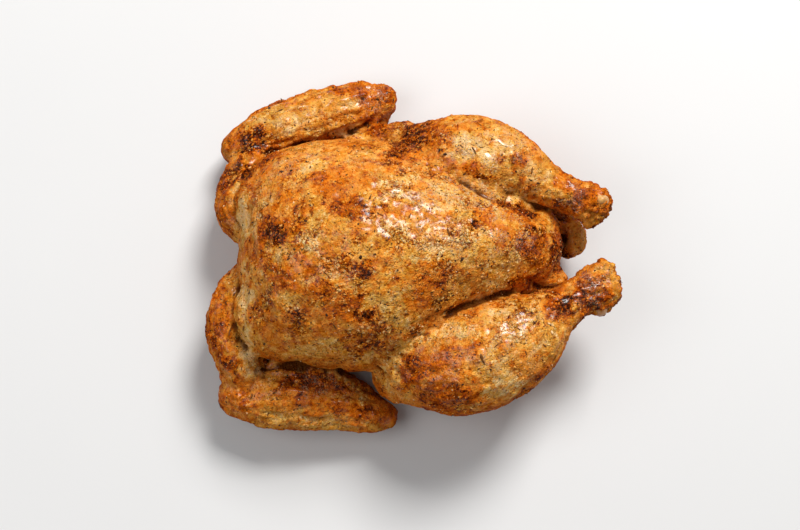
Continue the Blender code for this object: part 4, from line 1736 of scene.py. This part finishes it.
@dataclass(frozen=True)
class Skin:
    """The whole skin: all parts fused, softened, wrinkled and browned, with painted shade in its hollows.
    """

    torso: Torso
    groups: tuple[Limbs, ...]
    relief: Relief = Relief()
    browning: Browning = Browning()
    finish: SkinFinish = SkinFinish()
    voxel: float = 1.31
    soft_rounds: int = 4
    knee_radius: float = 26.0
    knee_rounds: int = 70
    crease_gain: float = 1.3
    crease_start: float = 0.25
    crease_limit: float = 3.0
    crease_rounds: int = 22
    knee_calm: float = 0.75
    sunk_rounds: int = 2
    hollow_rounds: int = 46

    def fused(self) -> Surface:
        """Fuse the parts, soften every crease a little and the knees a lot.

        Returns:
            The bare shape in the bird's frame, millimetres.
        """
        parts = self.torso.surfaces()
        for group in self.groups:
            parts += group.surfaces()
        skin = Surface.joined(parts).fused(self.voxel)
        skin = skin.relaxed(0.5, self.soft_rounds)
        return skin.relaxed(0.5 * self.kneeness(skin.points), self.knee_rounds)

    def kneeness(self, points: Array) -> Array:
        """How near points are to a knee.

        Args:
            points: Points in the bird's frame.

        Returns:
            Values from 0, away from the knees, to 1.
        """
        blend = np.zeros(len(points))
        for group in self.groups:
            if isinstance(group, Leg):
                gap = np.linalg.norm(points - group.knee, axis=1)
                near = 1.0 - smooth_step(0.5 * self.knee_radius, self.knee_radius, gap)
                blend = np.maximum(blend, near)
        return blend

    def deepened(self, skin: Surface) -> Surface:
        """Sink the creases by a multiple of how hollow they are, and less at the knees.

        Args:
            skin: The bare shape.

        Returns:
            The shape with deeper creases.
        """
        hollow = skin.hollow(self.crease_rounds) - self.crease_start
        depth = self.crease_gain * np.clip(hollow, 0.0, self.crease_limit)
        depth *= 1.0 - self.knee_calm * self.kneeness(skin.points)
        sunk = Surface(skin.points - skin.normals() * depth[:, None], skin.faces)
        return sunk.relaxed(0.5, self.sunk_rounds)

    def build(self) -> tuple[bpy.types.Object, Surface, Fit]:
        """Build the skin piece, darker on its ridges, with painted shade in its valleys and creases.

        Returns:
            The object, its surface in metres, and the way to the CAD frame.
        """
        bare = self.deepened(self.fused())
        normals = bare.normals()
        puckers = self.relief.puckers.at(self.relief.noise, bare.points)
        looks = self.browning.looks(bare.points, normals, puckers)
        limbs = [limb for group in self.groups for limb in group.limbs]
        height = self.relief.height(bare.points, looks["crust"], limbs)
        rough = Surface(bare.points + normals * height[:, None], bare.faces)
        fit = Fit.onto_solid(rough.points)
        placed = Surface(fit.apply(rough.points), rough.faces)
        piece = finish_piece(placed, "roasted_skin", self.finish.material())
        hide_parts(NODE)
        hollow = rough.hollow(self.hollow_rounds)
        # Painted shade: valleys darker and redder, and the crease number that darkens creases in the
        # shader.
        valley_shade = np.clip(hollow - 0.3, 0.0, 1.5)
        looks["tone"] += 0.08 * np.clip(-hollow, -1.0, 1.5) + 0.08 * valley_shade
        looks["warmth"] += 0.30 * valley_shade
        looks["crease"] = (hollow - 0.35) / 2.0
        store_looks(piece.data, looks)
        return piece, placed, fit


# --------------------------------------------------------------------------- seasoning


@dataclass(frozen=True)
class Flake:
    """One kind of scattered piece: a squashed, bent ball of few faces.

    Its size is the mean length, width and thickness in millimetres. Curl bends it,
    spread tilts it off the skin, and clumping gathers the copies in places.
    """

    name: str
    slot: str
    count: int
    size: Point
    curl: float
    spread: float
    clumping: float
    seed: int
    rings: int = 3
    sides: int = 5
    clump_size: float = 16.0
    size_spread: float = 0.32
    stretch: float = 0.25
    dents: float = 0.22
    lift: float = 0.25

    def places(self, rng: np.random.Generator, skin: Surface, share: Array) -> tuple[Array, Array, Array]:
        """Draw a place on the skin for each copy, and the way it lies.

        Args:
            rng: Where the draws come from.
            skin: The skin in metres.
            share: How likely a copy is at each point of the skin.

        Returns:
            Places; the axes along, across and up each copy; and the face under it.
        """
        corner = skin.points[skin.faces]
        way = skin.face_ways()
        area = np.linalg.norm(way, axis=1)
        normal = way / area[:, None]
        clump = Noise(self.seed).fractal(corner.mean(axis=1) / MM, self.clump_size, 3)
        likely = area * smooth_step(-0.15, 0.75, normal[:, 2]) * np.exp(self.clumping * clump)
        likely = likely * share[skin.faces[:, 0]]
        face = rng.choice(len(area), self.count, p=likely / likely.sum())
        across, along = np.moveaxis(rng.random((self.count, 2, 1)), 1, 0)
        low = corner[face, 0] * (1 - across) + corner[face, 1] * across
        high = corner[face, 3] * (1 - across) + corner[face, 2] * across
        place = low * (1 - along) + high * along
        up = unit(normal[face] + self.spread * rng.normal(size=(self.count, 3)))
        ahead = unit(np.cross(up, rng.normal(size=(self.count, 3))))
        return place, np.stack((ahead, np.cross(up, ahead), up), axis=1), face

    def bodies(self, rng: np.random.Generator, ball: Array) -> Array:
        """Draw the size and shape of each copy.

        Args:
            rng: Where the draws come from.
            ball: Points of the unit ball, with x along the flake.

        Returns:
            Points of each copy in its own axes, in metres.
        """
        low, high = 1.0 - self.stretch, 1.0 + self.stretch
        scale = np.array(self.size) * 0.5 * MM * rng.lognormal(0.0, self.size_spread, (self.count, 1))
        scale = scale * rng.uniform(low, high, (self.count, 3))
        body = ball[None] * scale[:, None, :]
        body = body * rng.uniform(1.0 - self.dents, 1.0 + self.dents, (self.count, len(ball), 1))
        body[:, :, 2] += self.curl * rng.normal(size=(self.count, 1)) * ball[:, 0] ** 2 * scale[:, :1]
        body[:, :, 2] += self.lift * scale[:, 2:]
        return body

    def scattered(self, skin: Surface, share: Array) -> tuple[Surface, Array, Array]:
        """Scatter copies over the skin, more where it faces up.

        Args:
            skin: The skin in metres.
            share: How likely a copy is at each point of the skin.

        Returns:
            All the flakes as one surface, a shade for each point, and the number of
            the skin's point that each lies on.
        """
        rng = np.random.default_rng(self.seed)
        ball = Ball((0, 0, 0), (1, 1, 1), self.rings, self.sides).surface()
        size = len(ball.points)
        place, axes, face = self.places(rng, skin, share)
        body = self.bodies(rng, ball.points)
        points = place[:, None]
        for axis in range(3):
            points = points + body[:, :, axis, None] * axes[:, None, axis]
        faces = ball.faces[None] + np.arange(self.count)[:, None, None] * size
        shade = np.repeat(rng.random(self.count), size)
        under = np.repeat(skin.faces[face, 0], size)
        return Surface(points.reshape(-1, 3), faces.reshape(-1, 3)), shade, under


@dataclass(frozen=True)
class Seasoning:
    """One kind of dried herb or ground spice."""

    flake: Flake
    finish: SpeckFinish

    def build(self, skin: Surface, share: Array) -> bpy.types.Object:
        """Scatter the flakes.

        Args:
            skin: The skin in metres.
            share: How likely a flake is at each point of the skin.

        Returns:
            The piece that holds all the flakes.
        """
        surface, shade, _ = self.flake.scattered(skin, share)
        material = self.finish.material(self.flake.name)
        piece = finish_piece(surface, self.flake.name, material)
        store(piece.data, "shade", shade)
        return piece


@dataclass(frozen=True)
class SkinGrains:
    """Crisp grains of the skin itself, with the skin's own finish and a tone of their own."""

    flake: Flake
    paler: float = 0.16
    darker: float = 0.12
    least_share: float = 0.04
    own_grain: float = 0.3

    def build(self, skin: Surface, cover: bpy.types.Object) -> bpy.types.Object:
        """Scatter the grains where the skin is granular.

        Args:
            skin: The skin in metres.
            cover: The skin's object, whose stored looks and finish the grains take.

        Returns:
            The piece that holds all the grains.
        """
        looks = {name: stored(cover.data, name) for name in LOOKS}
        share = (self.least_share + looks["grain"] ** 2) * (1.0 - looks["crease"]) ** 2
        surface, shade, under = self.flake.scattered(skin, share)
        piece = finish_piece(surface, self.flake.name, cover.data.materials[0])
        looks = {name: values[under] for name, values in looks.items()}
        looks["tone"] += self.darker - (self.paler + self.darker) * shade
        looks["crease"] *= 0.0
        looks["grain"] *= self.own_grain
        store_looks(piece.data, looks)
        return piece


SKIN_GRAINS = SkinGrains(
    Flake("crisp_grains", "roasted_skin", 4500, (1.25, 0.80, 0.60), 0.0, 0.30, 1.6, 16)
)


# Each kind is its count, mean size, curl, spread, clumping and seed, and the rings and
# sides of some; then its dark and light colour, its roughness and the coat of some.
SEASONING = (
    Seasoning(
        Flake("thyme_leaves", "dried_herbs", 380, (2.10, 0.55, 0.35), 0.15, 0.08, 1.6, 11, 4, 6),
        SpeckFinish((0.080, 0.028, 0.006), (0.17, 0.062, 0.014), 0.6),
    ),
    Seasoning(
        Flake("herb_dust", "dried_herbs", 1400, (0.90, 0.45, 0.32), 0.10, 0.20, 2.2, 12),
        SpeckFinish((0.10, 0.030, 0.006), (0.22, 0.072, 0.014), 0.7),
    ),
    Seasoning(
        Flake("pepper_grains", "dried_herbs", 600, (1.10, 0.75, 0.45), 0.0, 0.30, 2.4, 13, 3, 6),
        SpeckFinish((0.030, 0.011, 0.005), (0.090, 0.032, 0.010), 0.6, 0.1),
    ),
    Seasoning(
        Flake("garlic_grains", "ground_spice", 1000, (0.65, 0.42, 0.30), 0.0, 0.50, 1.8, 14),
        SpeckFinish((0.72, 0.38, 0.14), (0.92, 0.64, 0.34), 0.35, 0.6),
    ),
    Seasoning(
        Flake("paprika_specks", "ground_spice", 2200, (0.65, 0.50, 0.30), 0.0, 0.50, 0.8, 15),
        SpeckFinish((0.20, 0.030, 0.004), (0.45, 0.10, 0.01), 0.5, 0.2),
    ),
)
# How likely seasoning is where the skin is smooth, next to where it is all grains.
SMOOTH_SHARE = 0.25


@dataclass(frozen=True)
class BoneEnd:
    """The pale knuckle of bone and cartilage that shows at the end of a shank."""

    name: str
    lobes: tuple[Ball, ...]
    finish: BoneFinish = BoneFinish()
    voxel: float = 0.4
    soft_rounds: int = 5
    bumps: Bumps = Bumps(0.3, 2.5)
    noise: Noise = Noise(41)

    def build(self, fit: Fit) -> bpy.types.Object:
        """Fuse the lobes and roughen them a little.

        Args:
            fit: The way from the bird's frame to the CAD frame.

        Returns:
            The new piece.
        """
        knob = Surface.joined([lobe.surface() for lobe in self.lobes]).fused(self.voxel)
        knob = knob.relaxed(0.5, self.soft_rounds)
        height = self.bumps.at(self.noise, knob.points)
        knob = Surface(fit.apply(knob.points + knob.normals() * height[:, None]), knob.faces)
        return finish_piece(knob, self.name, self.finish.material())


BONE_ENDS = (
    BoneEnd(
        "left_shank_bone",
        (Ball((104.6, 31.4, 61.6), (4.6, 3.9, 6.4)), Ball((103.0, 32.8, 61.0), (3.6, 3.4, 5.9))),
    ),
    BoneEnd(
        "right_shank_bone",
        (Ball((104.5, -28.5, 56.5), (4.0, 4.4, 4.8)), Ball((107.0, -26.0, 56.0), (3.4, 3.6, 4.2))),
        BoneFinish((0.50, 0.23, 0.08), (0.26, 0.08, 0.03)),
    ),
)


# --------------------------------------------------------------------------- studio


def facing(place: Array, target: Array) -> tuple[float, float, float]:
    """Turn that points a camera's or a lamp's -Z axis from one place at another."""
    way = unit(target - place)
    return math.acos(-way[2]), 0.0, math.atan2(-way[0], way[1])


@dataclass(frozen=True)
class Lamp:
    """A square soft light that faces a point over the bird."""

    name: str
    place: Point
    size: float
    power: float
    colour: Colour

    def build(self, target: Array) -> None:
        """Add the lamp.

        Args:
            target: The point it faces.
        """
        data = bpy.data.lights.new(self.name, "AREA")
        data.size = self.size
        data.energy = self.power
        data.color = self.colour
        lamp = add_object(self.name, data)
        lamp.location = self.place
        lamp.rotation_euler = facing(np.array(self.place), target)


@dataclass(frozen=True)
class Studio:
    """Pale floor, soft light and a camera that looks steeply down from the bird's right side."""

    floor_size: float = 6.0
    floor: FloorFinish = FloorFinish()
    ambient: float = 0.20
    lamps: tuple[Lamp, ...] = (
        Lamp("key_light", (0.72, 1.52, 1.84), 0.85, 75.0, (1.0, 0.985, 0.965)),
        Lamp("fill_light", (-1.1, -0.2, 1.7), 1.4, 13.0, (0.98, 0.99, 1.0)),
    )
    elevation: float = 84.0
    distance: float = 0.95
    target: Point = (-0.00645, -0.00855, 0.050)
    lens: float = 76.3
    sensor_width: float = 36.0

    def build(self) -> None:
        """Add floor, room, lamps and camera."""
        scene = bpy.context.scene
        corners = 0.5 * self.floor_size * np.array(((-1, -1, 0), (1, -1, 0), (1, 1, 0), (-1, 1, 0)))
        mesh = Surface(corners, np.array(((0, 1, 2, 3),))).mesh("floor")
        mesh.materials.append(self.floor.material())
        floor = add_object("floor", mesh)
        scene.world = self.room()
        target = np.array(self.target)
        for lamp in self.lamps:
            lamp.build(target)
        scene.camera = self.camera(target)
        scene.view_settings.view_transform = "Standard"
        LOG.info("studio: floor, %d lamps and camera", len(self.lamps))

    def room(self) -> bpy.types.World:
        """Make even white light from all round.

        Returns:
            The world that gives it.
        """
        world = bpy.data.worlds.new("soft_room")
        world.use_nodes = True
        background = world.node_tree.nodes["Background"]
        background.inputs["Color"].default_value = (1.0, 1.0, 1.0, 1.0)
        background.inputs["Strength"].default_value = self.ambient
        return world

    def camera(self, target: Array) -> bpy.types.Object:
        """Add the camera.

        Args:
            target: The point it looks at.

        Returns:
            The camera.
        """
        data = bpy.data.cameras.new("camera")
        data.sensor_width = self.sensor_width
        data.lens = self.lens
        angle = math.radians(self.elevation)
        place = target + self.distance * np.array((0.0, -math.cos(angle), math.sin(angle)))
        camera = add_object("camera", data)
        camera.location = place
        camera.rotation_euler = facing(place, target)
        return camera


def main() -> None:
    """Build the bird, its seasoning and the studio.

    The bird is built from the inside out: skin with its limbs, crisp grains, bone ends
    and seasoning. Each piece is reported as it is made.
    """
    logging.basicConfig(level=logging.INFO, format="%(message)s")
    groups = (RIGHT_LEG, LEFT_LEG, RIGHT_WING, LEFT_WING, LOOSE_ENDS)
    for group in groups:
        names = ", ".join(limb.name for limb in group.limbs)
        LOG.info("skin goes over %s: %s", type(group).__name__, names)
    cover, surface, fit = Skin(Torso(), groups).build()
    SKIN_GRAINS.build(surface, cover)
    for bone in BONE_ENDS:
        bone.build(fit)
    share = SMOOTH_SHARE + stored(cover.data, "grain")
    for seasoning in SEASONING:
        seasoning.build(surface, share)
    Studio().build()


if __name__ == "__main__":
    main()
